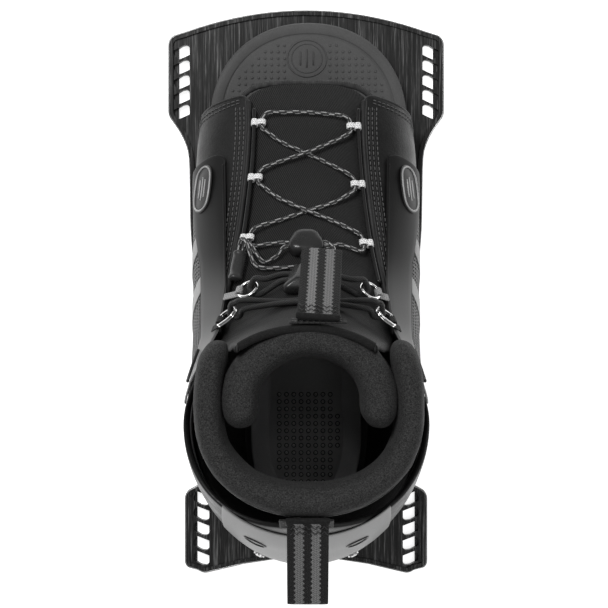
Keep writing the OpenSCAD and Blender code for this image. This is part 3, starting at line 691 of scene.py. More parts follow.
def thread(name, tone):
    p = Paint(name, rough=0.55, level=0.3, sheen=0.02)
    g = p.grain()
    ply = p.wave(p.maths("ADD", p.maths("MULTIPLY", p.axis(g, 0), 2.0), p.axis(g, 1)), 0.9)
    p.colour(p.ramp(ply, [(0.0, tone * 0.55), (1.0, tone)]))
    return p.relief(ply, 0.00015, 0.8).mat


PLATE = anodised()
STEEL = metal("steel", 0.56, 0.3)
CHROME = metal("chrome", 0.8, 0.09, 300)
LEATHER = leather("leather_black")
LEATHER_EDGE = leather("leather_binding", 0.012, 0.03, 0.36)
TWILL = twill("tongue_twill")
NEOPRENE = neoprene("neoprene_charcoal")
NEOPRENE_DARK = neoprene("neoprene_seam", 0.006, 0.02)
LINING = lining("lining_knit")
BAND = neoprene("cuff_band_cloth", 0.006, 0.05)
STRIPES = [(0.2, 0.012), (0.41, 0.16), (0.6, 0.012), (0.815, 0.14), (1.0, 0.012)]
STRAP = webbing("webbing_striped", 22, STRIPES)
STRAP_DARK = webbing("webbing_black", 22, [(1.0, 0.022)])
STRAP_WHITE = webbing("webbing_white", 4.4, [(1.0, 0.78)])
STRAP_GREY = webbing("webbing_grey", 5, [(1.0, 0.3)])
RUBBER = rubber("footbed_rubber", 0.052, 0.085)
# Painted shade for the grooves round the heel pad's dots.
RUBBER_GROOVE_SHADE = rubber("footbed_groove_painted_shade", 0.012, 0.02)
RUBBER_HEEL = rubber("footbed_heel_pad", 0.15, 0.21)
BLACK_PLASTIC = plastic("plastic_black", 0.018, 0.38)
LOCK_PLASTIC = plastic("plastic_lock", 0.02, 0.24)
BUTTON_PLASTIC = plastic("plastic_button", 0.014, 0.45)
GLOSS_PLASTIC = plastic("plastic_gloss", 0.012, 0.16)
BOARD = plastic("board", 0.05, 0.6)
GRIP_PLASTIC = plastic("grip_sleeve", 0.028, 0.25)
OVERLAY = fading("overlay_fade", [(0.0, 0.006), (0.40, 0.010), (0.62, 0.07), (1.0, 0.42)],
                 0.09, -0.075, rough=0.5)
HEEL_TRIM = fading("heel_fade", [(0.0, 0.006), (0.35, 0.02), (0.75, 0.09), (1.0, 0.15)],
                   0.16, 0.05, slope=1.0)
MESH_CLOTH = braid("mesh_cloth", 0.03, 0.08, picks=6)
STRIPE_FILM = fading("stripe_film", [(0.0, 0.28), (1.0, 0.36)], 0.05, -0.05, rough=0.5)
BADGE_RIM = plastic("badge_rim", 0.30, 0.3)
BADGE_FIELD = plastic("badge_field", 0.02, 0.35)
STRETCH = lining("stretch_binding", 0.02, 0.085)
LACE_CORD = braid("lace_cord", 0.012, 0.07, fleck=0.5)
ELASTIC = braid("elastic_black", 0.006, 0.035, picks=18)
THREAD_LIGHT = thread("thread_light", 0.13)
THREAD_DARK = thread("thread_dark", 0.03)


# ---------------------------------------------------------------- plate and sole
def dress(node, material):
    """A CAD node that keeps its shape and takes a material."""
    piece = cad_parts[node]
    piece.data.materials.clear()
    piece.data.materials.append(material)
    return piece


for plain_node, its_material in (
        ("base_plate", PLATE), ("plate_screws", STEEL), ("tee_nuts", STEEL), ("sole_chassis", BLACK_PLASTIC),
        ("lasting_board", BOARD), ("heel_counter", BOARD), ("heel_rivets", STEEL), ("ring_left", CHROME),
        ("ring_right", CHROME)):
    dress(plain_node, its_material)


def inset(loop, amount):
    """A closed outline moved inwards by an amount."""
    ahead = np.roll(loop, -1, axis=0) - np.roll(loop, 1, axis=0)
    inwards = unit(np.stack([-ahead[:, 1], ahead[:, 0]], axis=1))
    return loop + inwards * amount


def profile_solid(name, outline, profile, base, material):
    """A solid from an anticlockwise outline; profile gives (inset, height) rings from the rim inwards."""
    n = len(outline)
    rings = [np.column_stack([outline, np.full(n, base)])]
    rings += [np.column_stack([inset(outline, e), np.full(n, z)]) for e, z in profile]
    verts = np.concatenate(rings)
    faces = [list(range(n))[::-1]]
    for r in range(len(rings) - 1):
        faces += ring_faces(n, r)
    faces.append([(len(rings) - 1) * n + i for i in range(n)])
    uv = np.array([verts[i][:2] for f in faces for i in f])
    return make(name, verts, faces, material, uv)


def plate_arc(c, r, a0, a1, n):
    return [(c[0] + r * math.cos(math.radians(a)), c[1] + r * math.sin(math.radians(a)))
            for a in np.linspace(a0, a1, n + 1)]


def plate_curve(points, m):
    return [tuple(p) for p in smooth_line([(x, y, 0) for x, y in points], m)[:, :2]]


# The plate's raised rim, a thin round strip in bright metal: its brightness is painted highlight along the
# rim.
plate_half = [(7.6 * i, 177.5 - (7.6 * i) ** 2 / 426.0) for i in range(11)]
plate_half += plate_arc((80, 155.5), 7, 62, 0, 5) + plate_arc((78, 114), 9, 0, -42, 4)
plate_half += plate_curve([(80.5, 102), (76.4, 94), (74, 84), (73.4, 60), (73, 40), (71.5, 20), (69.5, 0),
                           (68, -30), (66, -60), (63, -90), (60, -112)], 3)
plate_half += plate_curve([(61, -117), (66, -121), (70.5, -123.5)], 3)
plate_half += plate_arc((70, -130.5), 6.5, 50, 0, 4) + plate_arc((71.5, -170), 5, 0, -55, 4)
plate_half += [(68.5, -175.6)] + plate_arc((63.5, -171.5), 6, -60, -100, 3)
plate_half += [(52, -175), (39.5, -172), (20, -169), (0, -168)]
plate_loop = plate_half + [(-x, y) for x, y in plate_half[-2:0:-1]]
plate_loop = resample([(x, y, 0) for x, y in plate_loop + plate_loop[:1]], 2.0)[0][:-1, :2]
plate_loop = inset(plate_loop[::-1], 0.45)
rim_highlight_parts = tube_parts(np.column_stack([plate_loop, np.full(len(plate_loop), 6.3)]), 0.42, 8, close=True)
make_parts("plate_rim_painted_highlight", rim_highlight_parts, metal("rim_highlight_metal", 0.3, 0.34))


def dome_parts(centre, radius, height, sides=10):
    """A small raised dot, closed underneath."""
    verts, faces = [], []
    for k, (share, rise) in enumerate(((1.0, -0.25), (1.0, 0.0), (0.86, 0.5), (0.5, 0.88))):
        for i in range(sides):
            a = 2 * math.pi * i / sides
            verts.append((centre[0] + radius * share * math.cos(a),
                          centre[1] + radius * share * math.sin(a), centre[2] + height * rise))
        if k:
            faces += ring_faces(sides, k - 1)
    verts.append((centre[0], centre[1], centre[2] + height))
    faces += [[3 * sides + i, 3 * sides + (i + 1) % sides, 4 * sides] for i in range(sides)]
    faces.append(list(range(sides))[::-1])
    return np.array(verts), faces, np.zeros((sum(len(f) for f in faces), 2))


def distance_inside(points, loop):
    """Distance of each point from a closed outline, negative outside."""
    a, b = loop, np.roll(loop, -1, axis=0)
    d = b - a
    t = np.clip(((points[:, None] - a) * d).sum(2) / (d * d).sum(1), 0, 1)
    near = np.linalg.norm(points[:, None] - (a + t[..., None] * d), axis=2).min(axis=1)
    x, y = points[:, None, 0], points[:, None, 1]
    edge_x = d[:, 0] * (y - a[:, 1]) / np.where(d[:, 1] == 0, 1e-9, d[:, 1]) + a[:, 0]
    crossed = ((a[:, 1] > y) != (b[:, 1] > y)) & (x < edge_x)
    return np.where(crossed.sum(axis=1) % 2 == 1, near, -near)


def even_outline(points, step):
    """An anticlockwise closed outline with its points an equal step apart."""
    line = np.column_stack([np.vstack([points, points[:1]]), np.zeros(len(points) + 1)])
    loop = resample(line, step)[0][:-1, :2]
    x, y = loop.T
    return loop if np.sum(x * np.roll(y, -1) - np.roll(x, -1) * y) >= 0 else loop[::-1]


def dots(name, loop, pitch, low, clear, top, radius, height, keep, material):
    """Rows of raised dots over the flat middle of an outline."""
    xs = np.arange(-60, 60, pitch) + pitch / 2
    ys = np.arange(low, low + 66, pitch)
    points = np.array([(x, y) for y in ys for x in xs if keep(x, y)])
    inside = distance_inside(points, loop) > clear
    parts = [dome_parts((x, y, top), radius, height) for x, y in points[inside]]
    return make_parts(name, gather(parts), material)


toe_turn = np.radians(np.linspace(90, 0, 60))
toe_right = np.stack([61.5 * np.cos(toe_turn) ** 0.94, 106 + 62 * np.sin(toe_turn) ** 0.94], axis=1)
toe_right[0, 0] = 0
toe_half = np.concatenate([toe_right, [[61, 105], [55, 104]]])
toe_outline = even_outline(np.concatenate([toe_half, toe_half[:0:-1] * [-1, 1]])[::-1] + [1.5, 0], 2.2)
top = FOOTBED_TOP
footbed_toe = profile_solid("footbed_toe", toe_outline, [
    (0, top - 2.6), (0.3, top - 1.4), (1.0, top - 0.5), (2.0, top - 0.1), (3.2, top), (6.6, top - 0.05),
    (7.0, top - 0.25), (7.3, top - 0.75), (7.8, top - 0.75), (8.1, top - 0.35), (8.8, top - 0.3)],
    SOLE_Z, RUBBER)
toe_dots = dots("footbed_toe_dots", inset(toe_outline, 8.8), 4.05, 105, 1.7, top - 0.3, 1.0, 0.55,
                lambda x, y: abs(x - 0.5) > 13.5 or y < 131, RUBBER)

EMBLEM_X, EMBLEM_Y = 0.5, 145.5


def emblem_oval(rx, ry, thick, n):
    line = [(EMBLEM_X + rx * math.cos(a), EMBLEM_Y + ry * math.sin(a), top - 0.2)
            for a in np.linspace(0, 2 * math.pi, n, endpoint=False)]
    return tube_parts(line, thick, 8, close=True)


def emblem_bar(x, h):
    line = [(EMBLEM_X + x, EMBLEM_Y + h * k, top - 0.2 + 0.05 * (k == 0)) for k in (-1, 0, 1)]
    return tube_parts(line, 0.5, 8)


emblem_parts = [emblem_oval(12.2, 11.5, 0.5, 64), emblem_oval(9.6, 9.0, 0.35, 56)]
emblem_parts += [emblem_bar(x, h) for x, h in ((-4, 4.2), (0, 5.6), (4, 4.2))]
emblem = make_parts("footbed_emblem", gather(emblem_parts), RUBBER)

heel_v = np.linspace(1.0, 5.35, 90)
heel_right = skin(heel_v, sole_angle(heel_v, 11.2, LINER_Z), 11.2)[:, :2]
heel_right = heel_right[heel_right[:, 0] > 2]
heel_half = np.concatenate([[[44, 110]], heel_right])
heel_outline = even_outline(np.concatenate([heel_half, heel_half[::-1] * [-1, 1]]), 3.0)
footbed_heel = profile_solid("footbed_heel", heel_outline, [
    (0, top + 3.0), (0.6, top + 3.4), (1.4, top + 3.2), (4, top + 1.9), (7, top + 0.9), (9.5, top + 0.25),
    (10.6, top), (11.0, top - 0.55), (11.7, top - 0.55), (12.1, top)], LINER_Z + 0.1, RUBBER_HEEL)
# Its raised rim ends where the foot goes forward onto the toe part.
for v in footbed_heel.data.vertices:
    if v.co.y > 0.03:
        v.co.z = min(v.co.z, (top - 0.4) * MM)
heel_dots = dots("footbed_heel_dots", inset(heel_outline, 12.1), 4.55, -128, 2.2, top + 0.1, 0.95, 0.7,
                 lambda x, y: y < -55, RUBBER_HEEL)
# Flat near-black rings round the foot of each heel dot: painted shade of the groove round it.
heel_ring_shade = dots("footbed_heel_ring_shade", inset(heel_outline, 12.1), 4.55, -128, 2.2, top, 1.55, 0.12,
                  lambda x, y: y < -55, RUBBER_GROOVE_SHADE)
for part in (footbed_toe, toe_dots, emblem, footbed_heel, heel_dots, heel_ring_shade):
    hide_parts("footbed")


# ---------------------------------------------------------------- upper
def rows(t):
    """Spreads the shell's rows, so that they lie closest where its sections fan out most."""
    return lookup(t, [[0, 0], [0.32, 0.58], [0.42, 0.628], [0.52, 0.644], [0.62, 0.6535], [0.69, 0.668],
                      [0.77, 0.72], [1, 1]])


def quarter_end(s):
    return mix(4.95, 7.72, np.asarray(s, float) ** 0.3)


def round_corner(s, reach):
    """0 away from the start of an edge, rising to 1 at it along a quarter circle."""
    return 1 - np.sqrt(1 - np.clip(1 - np.asarray(s, float) / reach, 0, 1) ** 2)


def quarter_at(s, t, d):
    w = mix(t, rows(t), s)
    v = mix(0.38 + 0.57 * s + 0.17 * round_corner(s, 0.07), quarter_end(s) - 0.1 * round_corner(s, 0.05), w)
    u0 = angle_at(v, along(THROAT, v), d)
    return v, mix(u0, sole_angle(v, d, SOLE_Z + 0.35), s)


def liner_at(s, t, d):
    w = mix(t, rows(t), s)
    v = mix(0.75 + 0.4 * s, mix(4.6, 7.6, np.asarray(s, float) ** 0.6), w)
    u0 = angle_at(v, along(TONGUE_W, v) + 1.5 + 3 * np.maximum(0, v - 4), d)
    return v, mix(u0, sole_angle(v, d, LINER_Z + 0.3), s)


def overlay_low(v):
    return lookup(v, [[1.8, 88], [2.6, 74], [3.2, 63], [4.6, 61], [5.9, 82]])


def overlay_at(s, t, d):
    v0 = 1.55 + 0.3 * s + 0.16 * round_corner(s, 0.28) + 0.1 * round_corner(1 - s, 0.2)
    v = mix(v0, 5.9 - 0.2 * round_corner(1 - s, 0.3), t)
    x = lookup(t, [[0, 47], [0.5, 44.5], [0.8, 48], [1, 57]])
    return v, mix(angle_at(v, x, d) + 1.5, overlay_low(v), s)


def curve_on(at, s, t, d):
    """Points and outward normals along a line of a piece's own coordinates."""
    s, t = np.broadcast_arrays(np.asarray(s, float), np.asarray(t, float))
    v, u = at(s, t, np.full(s.shape, float(d)))
    return skin(v, u, d), skin_normal(v, u, d)


def shell_and_lining(side, word):
    """The leather quarter and the padded lining inside it."""
    quarter = patch("quarter_shell_" + word, 56, 170, 0, SHELL_T, quarter_at, LEATHER, side, bulge=0.45)
    displace(quarter, wrinkle(26, 0.22, 3.1 * side))
    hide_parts("quarter_" + word)
    wall = patch("lining_" + word, 40, 110, LINER_D, LINER_D + 2.6, liner_at, LINING, side, bulge=0.8)
    displace(wall, wrinkle(17, 0.55, 1.7 * side))
    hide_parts("liner_" + word)


def leather_edges(side, word):
    """Folded binding round the front edge of the leather, and the rows of stitches."""
    s_edge = np.linspace(0, 0.97, 90)
    edge, edge_normal = curve_on(quarter_at, s_edge, 0.0, SHELL_T / 2)
    line, _ = resample(mirrored(edge, side), 1.2)
    binding = tube("front_binding_" + word, line, 2.05, LEATHER_EDGE, 12, shape=(0.55, 1.0))
    rows_of_stitches = []
    for inset_t in (0.012, 0.024):
        line, normals = curve_on(quarter_at, np.linspace(0.05, 0.95, 120), inset_t, -0.1)
        rows_of_stitches += stitch_parts(mirrored(line, side), mirrored(normals, side), 3.1, 2.3, 0.26)
    # Three rows of stitches down the lace edge.
    for offset in (2.6, 5.0, 7.6):
        v = np.linspace(0.62, 4.9, 160)
        x = along(THROAT, v) + offset
        u = angle_at(v, x, -0.1)
        line, normals = skin(v, u, -0.1), skin_normal(v, u, 0)
        rows_of_stitches += stitch_parts(mirrored(line, side), mirrored(normals, side), 3.3, 2.3, 0.28)
    stitched = gather(rows_of_stitches)
    make_parts("stitches_" + word, stitched, THREAD_LIGHT)


def lace_edge(side, word):
    """Welts where the layers under the leather end, and the rolled edge with its piping."""
    for k, offset in enumerate((3.8, 6.3)):
        v = np.linspace(0.7, 4.9, 120)
        u = angle_at(v, along(THROAT, v) + offset, 0)
        line = mirrored(skin(v, u, 0.05), side)
        tube("lace_welt_%s_%d" % (word, k + 1), line, 0.42, LEATHER_EDGE, 8)

    v = np.linspace(0.52, 4.93, 160)
    line = mirrored(on_top(v, along(THROAT, v) - 0.3, 1.5), side)
    tube("lace_edge_roll_" + word, line, 1.75, LEATHER_EDGE, 14)
    line = mirrored(on_top(v, along(THROAT, v) + 1.15, -0.15), side)
    tube("lace_edge_piping_" + word, line, 0.4, THREAD_DARK, 8)


def side_trim(side, word):
    """Side trim with a raised lip."""
    trim = patch("side_trim_" + word, 26, 120,
                 lambda s, t: -1.75 - 0.3 * np.minimum(1, 6 * np.minimum(s, 1 - s)), -0.9,
                 overlay_at, OVERLAY, side, bulge=0.9)
    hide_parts("side_overlay_" + word)
    lip, _ = curve_on(overlay_at, 0.035, np.linspace(0.03, 0.985, 100), -2.0)
    tube("side_trim_lip_" + word, mirrored(lip, side), 0.5, OVERLAY, 8)


def mesh_panel(side, word):
    """Perforated panel: rows of blind round holes in a thin cloth-covered sheet."""
    across, down = 15, 56
    face_d, bottom_d, back_d = -1.1, -0.6, -0.4
    ring = [(-.5, -.5), (0, -.5), (.5, -.5), (.5, 0), (.5, .5), (0, .5), (-.5, .5), (-.5, 0)]
    hole = [(0.29 * math.cos(math.radians(a)), 0.29 * math.sin(math.radians(a)))
            for a in (225, 270, 315, 0, 45, 90, 135, 180)]
    cell_st, cell_d = [], []
    faces, lookup_id = [], {}

    def point_id(s, t, d):
        key = (round(s, 5), round(t, 5), round(d, 3))
        if key not in lookup_id:
            lookup_id[key] = len(cell_st)
            cell_st.append((s, t))
            cell_d.append(d)
        return lookup_id[key]

    for j in range(down):
        for i in range(across):
            cs, ct = (i + 0.5) / across, (j + 0.5) / down
            rim_ids = [point_id(cs + x / across, ct + y / down, face_d) for x, y in ring]
            top_ids = [point_id(cs + x / across, ct + y / down, face_d) for x, y in hole]
            low_ids = [point_id(cs + x / across, ct + y / down, bottom_d) for x, y in hole]
            for k in range(8):
                m = (k + 1) % 8
                faces.append([rim_ids[k], rim_ids[m], top_ids[m], top_ids[k]])
                faces.append([top_ids[k], top_ids[m], low_ids[m], low_ids[k]])
            faces.append(low_ids)
            back_ids = [point_id(cs + x / across, ct + y / down, back_d) for x, y in ring]
            faces.append(back_ids[::-1])
            for k, out in ((0, j == 0), (2, i == across - 1), (4, j == down - 1), (6, i == 0)):
                if out:
                    a, b, c = k, k + 1, (k + 2) % 8
                    faces.append([rim_ids[a], back_ids[a], back_ids[b], rim_ids[b]])
                    faces.append([rim_ids[b], back_ids[b], back_ids[c], rim_ids[c]])
    st = np.array(cell_st)
    depth = np.array(cell_d)
    v = mix(2.25, 5.35, st[:, 1])
    u = mix(overlay_low(v) + 2, np.minimum(118, sole_angle(v, depth, SOLE_Z + 9)), st[:, 0])
    points = mirrored(skin(v, u, depth), side)
    panel = make("mesh_inset_" + word, points, faces, MESH_CLOTH,
                 np.array([(st[i][0] * 6, st[i][1] * 150) for f in faces for i in f]))
    finish_normals(panel, 40)
    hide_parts("mesh_panel_" + word)


def panel_stripes(side, word):
    """Two slanting light stripes printed on film over the panel."""
    for k, (v_mid, half_v) in enumerate(((2.98, 0.13), (3.62, 0.12))):
        film = patch("panel_stripe_%s_%d" % (word, k + 1), 10, 8, -1.65, -1.15,
                     lambda s, t, d, v_mid=v_mid, half_v=half_v:
                     (mix(v_mid - half_v, v_mid + half_v, t) + 0.35 * (s - 0.3),
                      mix(overlay_low(v_mid) + 1.2, 100, s)),
                     STRIPE_FILM, side, bulge=0.8)


def badge(side, word):
    """An oval field with a rim and three plain bars."""
    f = skin_frame(2.13, 59.0, -2.15)

    def oval(a, r, z):
        return in_frame(f, (r * math.cos(a), r * math.sin(a) + 6 * math.tanh(3 * math.sin(a)), z))

    n = 72
    turn = np.linspace(0, 2 * math.pi, n, endpoint=False)
    verts = [oval(a, r, z) for r, z in ((8.9, 0.0), (8.9, 0.35), (8.4, 0.62), (0.01, 0.7)) for a in turn]
    faces = [list(range(n))[::-1]]
    for r in range(3):
        faces += ring_faces(n, r)
    faces.append([3 * n + i for i in range(n)])
    field = finish_normals(make("badge_field_" + word, mirrored(verts, side), faces, BADGE_FIELD), 35)
    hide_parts("badge_" + word)
    rim_parts = [tube_parts(mirrored([oval(a, 7.6, 0.7) for a in turn], side), 0.6, 8, close=True)]
    for x, reach in ((-2.6, 5.5), (0, 7.2), (2.6, 5.5)):
        bar = [in_frame(f, (x, y, 0.72)) for y in np.linspace(-reach, reach, 9)]
        rim_parts.append(tube_parts(mirrored(bar, side), 0.5, 8))
    make_parts("badge_rim_" + word, gather(rim_parts), BADGE_RIM)


for side, word in ((-1, "left"), (1, "right")):
    for build in (shell_and_lining, leather_edges, lace_edge, side_trim,
                  mesh_panel, panel_stripes, badge):
        build(side, word)


def heel_depth(s, t):
    """The heel trim's face, lower near its edges."""
    return -1.2 - 0.4 * np.minimum(1, 5 * np.minimum(np.minimum(s, 1 - s), np.minimum(t, 1 - t)))


heel_trim = patch("heel_trim", 60, 36, heel_depth, -0.4,
                  lambda s, t, d: (mix(5.7, 7.5, t), mix(136, 224, s)), HEEL_TRIM, bulge=0.9)
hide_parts("heel_overlay")
for side, word in ((-1, "left"), (1, "right")):
    slot_line = []
    for a in np.linspace(0, 2 * math.pi, 40, endpoint=False):
        slot_line.append(skin(7.0 + 0.085 * math.sin(a), 180 + side * (25 + 5.5 * math.cos(a)), -1.65))
    slot_parts = tube_parts(slot_line, 0.7, 8, close=True)
    make_parts("heel_slot_" + word, slot_parts, BLACK_PLASTIC)


# ---------------------------------------------------------------- tongue
def tongue_front(x):
    return 0.95 * (np.abs(x) / 44.0) ** 2


def tongue_at(s, t, d):
    k = 2 * s - 1
    v = mix(tongue_front(44 * k), 7.86, t)
    return v, k * angle_at(v, along(TONGUE_W, v), d)


tongue = patch("tongue_cloth", 64, 240, TONGUE_D, TONGUE_D + TONGUE_T, tongue_at, TWILL,
               body=None, bulge=0.7)
displace(tongue, wrinkle(34, 0.5, 4.4))
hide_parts("tongue_lower", "tongue_upper")
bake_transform(tongue)

k_top = np.linspace(-1, 1, 160)
top_edge = skin(7.84, k_top * angle_at(7.84, along(TONGUE_W, 7.84), TONGUE_D), TONGUE_D + TONGUE_T / 2)
top_edge = resample(top_edge, 1.0)[0]
tube("tongue_top_binding", top_edge, 2.3, NEOPRENE_DARK, 18, "tongue_top")

k_edge = np.linspace(-1, 1, 240)
v_edge = tongue_front(44 * k_edge) - 0.22 - 0.1 * np.abs(k_edge)
toe_edge = skin(v_edge, k_edge * angle_at(v_edge, along(TONGUE_W, v_edge), 4.2), 6.0)
toe_edge = resample(toe_edge, 1.0)[0]
toe_band = tube("toe_stretch_binding", toe_edge,
                lambda run, a: 1.85 + 0.09 * np.sin(run * 2.1 + 3 * np.sin(a)) + 0.05 * np.sin(run * 5.3),
                STRETCH, 20)
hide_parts("toe_binding")


# ---------------------------------------------------------------- padded collars
CLOTH_FRAMES = 20
CLOTH_REACH = 0.0011  # how far filling the cover may move a point, in metres


# Each path gives, for t from 0 to 1: x, y and z of the roll's middle, its thickness and its height.
def roll_points(path, m=48):
    path = np.array(path)
    ahead = unit(np.gradient(path[:, :2], axis=0))
    out = np.stack([ahead[:, 1], -ahead[:, 0]], axis=1)
    a = np.arange(m) * 2 * math.pi / m
    c, h = signed_power(np.cos(a), 0.8), signed_power(np.sin(a), 0.8)
    rings = np.zeros((len(path), m, 3))
    rings[..., :2] = path[:, None, :2] + out[:, None] * c[None, :, None] * path[:, None, 3:4] / 2
    rings[..., 2] = path[:, None, 2] + h[None] * path[:, None, 4] / 2
    return rings


def swell(t):
    """A roll's size, rounding off to its two ends."""
    e = min(1.0, min(t, 1 - t) / 0.07)
    return math.sqrt(max(0.02, 1 - (1 - e) ** 2))


def tongue_roll(t):
    a = math.radians(-33 + 246 * t)
    k, rise = swell(t), abs(math.cos(a))
    return (1.8 + 36.8 * math.cos(a), -58.2 + (31 if math.sin(a) > 0 else 24) * math.sin(a), 186 - 3 * rise,
            k * mix(15, 19.4, rise), k * mix(38, 34, rise))


def cuff_roll(t):
    a = math.radians(142 + 256 * t)
    k, c, s = swell(t), math.cos(a), math.sin(a)
    e = 0.714 if s > 0 else 0.9
    return (1.4 + 53.0 * math.copysign(abs(c) ** e, c),
            -68 + (58 if s > 0 else 43.6) * math.copysign(abs(s) ** (0.714 if s > 0 else 1), s),
            179 + 2 * abs(s), k * mix(17.2, 14.4, abs(c)), k * 41)


def roll_piece(name, path, body, seed):
    """A padded roll: its cover is filled and settled as cloth."""
    rings = roll_points([path(i / 140) for i in range(141)])
    n, m = rings.shape[:2]
    faces = [face for i in range(n - 1) for face in ring_faces(m, i)]
    faces += [list(range(m))[::-1], [(n - 1) * m + k for k in range(m)]]
    piece = finish_normals(make(name, rings.reshape(-1, 3), faces, NEOPRENE, None, None))
    remesh = piece.modifiers.new("even", "REMESH")
    remesh.mode, remesh.voxel_size = "VOXEL", 0.0042
    apply_modifiers(piece)
    start = np.array([v.co for v in piece.data.vertices])
    SCENE.frame_set(1)
    cloth = piece.modifiers.new("fill", "CLOTH")
    settings = cloth.settings
    settings.quality = 6
    settings.mass = 0.3
    settings.tension_stiffness = settings.compression_stiffness = 18
    settings.shear_stiffness = 8
    settings.bending_stiffness = 1.2
    settings.use_pressure = True
    settings.uniform_pressure_force = 4
    settings.effector_weights.gravity = 0
    cloth.collision_settings.use_collision = False
    cloth.point_cache.frame_start, cloth.point_cache.frame_end = 1, CLOTH_FRAMES
    for f in range(1, CLOTH_FRAMES + 1):
        SCENE.frame_set(f)
        bpy.context.evaluated_depsgraph_get().update()
    settled = piece.evaluated_get(bpy.context.evaluated_depsgraph_get()).data
    moved = np.array([v.co for v in settled.vertices]) - start
    piece.modifiers.clear()
    far = np.linalg.norm(moved, axis=1, keepdims=True)
    moved *= np.minimum(1, CLOTH_REACH / np.maximum(far, 1e-9))
    for v, p in zip(piece.data.vertices, start + moved):
        v.co = p
    SCENE.frame_set(1)
    creases = wrinkle(15, 0.7, seed)
    displace(piece, lambda p: creases(p) + 0.55)
    subdivide(piece, 1)
    piece.data.materials.clear()
    piece.data.materials.append(NEOPRENE)
    piece.data.shade_smooth()
    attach(piece, body)
    return piece


collar = roll_piece("tongue_collar_cover", tongue_roll, "tongue_top", 1.3)
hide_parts("tongue_collar")
cuff = roll_piece("cuff_collar_cover", cuff_roll, "boot", 6.1)
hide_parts("cuff_collar")


def crown_line(path, share, lift, t0, t1, body, name, radius, material):
    """A seam along a roll: share runs round its cross section from 0 (outer side) to 0.25 (top)."""
    sides = 64
    rings = roll_points([path(t) for t in np.linspace(t0, t1, 160)], sides)
    line = rings[:, int(share * sides)]
    middle = rings.mean(axis=1)
    line = line + unit(line - middle) * lift
    tube(name, line, radius, material, 10, body)


crown_line(cuff_roll, 0.08, -0.15, 0.03, 0.97, "boot", "cuff_collar_piping", 0.75, LEATHER_EDGE)
crown_line(tongue_roll, 0.04, -0.2, 0.04, 0.96, "tongue_top", "tongue_collar_piping", 0.6, NEOPRENE_DARK)


def band_at(s, t, d):
    k = np.abs(2 * s - 1)
    v = mix(quarter_end(np.maximum(0.04, 1 - k)) - 0.35, mix(7.35, 6.75, k), t)
    u = mix(180.0, angle_at(v, along(THROAT, v) + 1, d), k)
    return v, np.where(s < 0.5, u, 360 - u)


cuff_strip = patch("cuff_band_cloth", 120, 16, SHELL_T + 0.5, SHELL_T + 1.5, band_at, BAND, bulge=0.9)
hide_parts("cuff_band")


# ---------------------------------------------------------------- webbing
def ribbon(name, path, across, half_wide, half_thick, material, body, sides=20, close=False):
    """A woven strap swept along a path, across a fixed direction."""
    path = np.asarray(path, float)
    across = unit(across)
    if close:
        ahead = unit(np.roll(path, -1, axis=0) - np.roll(path, 1, axis=0))
    else:
        ahead = unit(np.gradient(path, axis=0))
    out = unit(np.cross(ahead, across))
    turn = np.arange(sides) * 2 * math.pi / sides
    c, h = signed_power(np.cos(turn), 0.35), signed_power(np.sin(turn), 0.35)
    rings = (path[:, None] + across * (half_wide * c)[None, :, None]
             + out[:, None] * (half_thick * h)[None, :, None])
    run = run_along(path)
    n = len(path)
    faces, uv = [], []
    for i in range(n if close else n - 1):
        for k in range(sides):
            j, m = (i + 1) % n, (k + 1) % sides
            faces.append([i * sides + k, i * sides + m, j * sides + m, j * sides + k])
            y0, y1 = run[i], run[j] if j else run[-1] + 1
            uv += [(half_wide * c[a], y) for a, y in ((k, y0), (m, y0), (m, y1), (k, y1))]
    if not close:
        for ring in (0, n - 1):
            face = [ring * sides + k for k in range(sides)]
            faces.append(face[::-1] if ring == 0 else face)
            uv += [(half_wide * c[k % sides], run[ring]) for k in (face if ring else face[::-1])]
    return finish_normals(make(name, rings.reshape(-1, 3), faces, material, np.array(uv), body), 50)


def tab_frame(seam, droop, turn):
    """A pull tab's frame: its seam, and its directions across, along and off the tab."""
    m = Matrix.Rotation(math.radians(turn), 3, "Z") @ Matrix.Rotation(math.radians(-droop), 3, "X")
    x, y, z = (np.array(m @ Vector(axis)) for axis in ((1, 0, 0), (0, 1, 0), (0, 0, 1)))
    return np.array(seam, float), x, y, z


def zigzag(f, y, half, z, wide=1.1, pitch=1.6):
    """A row of zigzag stitches across a strap, in its frame."""
    parts = []
    count = int(2 * half / pitch)
    for i in range(count):
        x0 = -half + i * pitch
        a, b = (y - wide, y + wide) if i % 2 else (y + wide, y - wide)
        thread = [(x0, a, z), (x0 + pitch / 2, (a + b) / 2, z + 0.3), (x0 + pitch, b, z)]
        parts.append(tube_parts([in_frame(f, p) for p in thread], 0.22, 6))
    return parts


def pull_tab(word, seam, droop, turn, long, body, node):
    """A strap folded back on itself, from its seam to a round fold, with two rows of stitches."""
    f = tab_frame(seam, droop, turn)
    side = [(y, -mix(0.82, 3.2, max(0.0, y - 4) / (long - 8)) if y > 4 else -0.82)
            for y in np.linspace(0, long - 4, 40)]
    fold = [(long - 4 + 3.2 * math.sin(a), -3.2 * math.cos(a)) for a in np.linspace(0, math.pi, 20)[1:-1]]
    back = [(y, -z) for y, z in side[::-1]]
    waves = [0.35 * math.sin(0.11 * i + droop) for i in range(len(side) + len(fold) + len(back))]
    path = [in_frame(f, (0, y, z + w * min(1, y / 20))) for (y, z), w in zip(side + fold + back, waves)]
    strap = ribbon(word + "_pull_tab_strap", path, f[1], 11, 0.78, STRAP, body, 24)
    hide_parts(node)
    stitches = gather(zigzag(f, 3.0, 10.2, 1.75) + zigzag(f, 6.4, 10.2, 1.85))
    make_parts(word + "_pull_tab_stitches", stitches, THREAD_DARK, body)


FRONT_SEAM, REAR_SEAM = (6, -14.4, 204), (0.7, -121, 198)
FRONT_DROOP, FRONT_TURN = 54, -4
pull_tab("front", FRONT_SEAM, FRONT_DROOP, FRONT_TURN, 60, "front_tab", "front_pull_tab")
pull_tab("rear", REAR_SEAM, 32, 180, 56, "rear_tab", "rear_pull_tab")


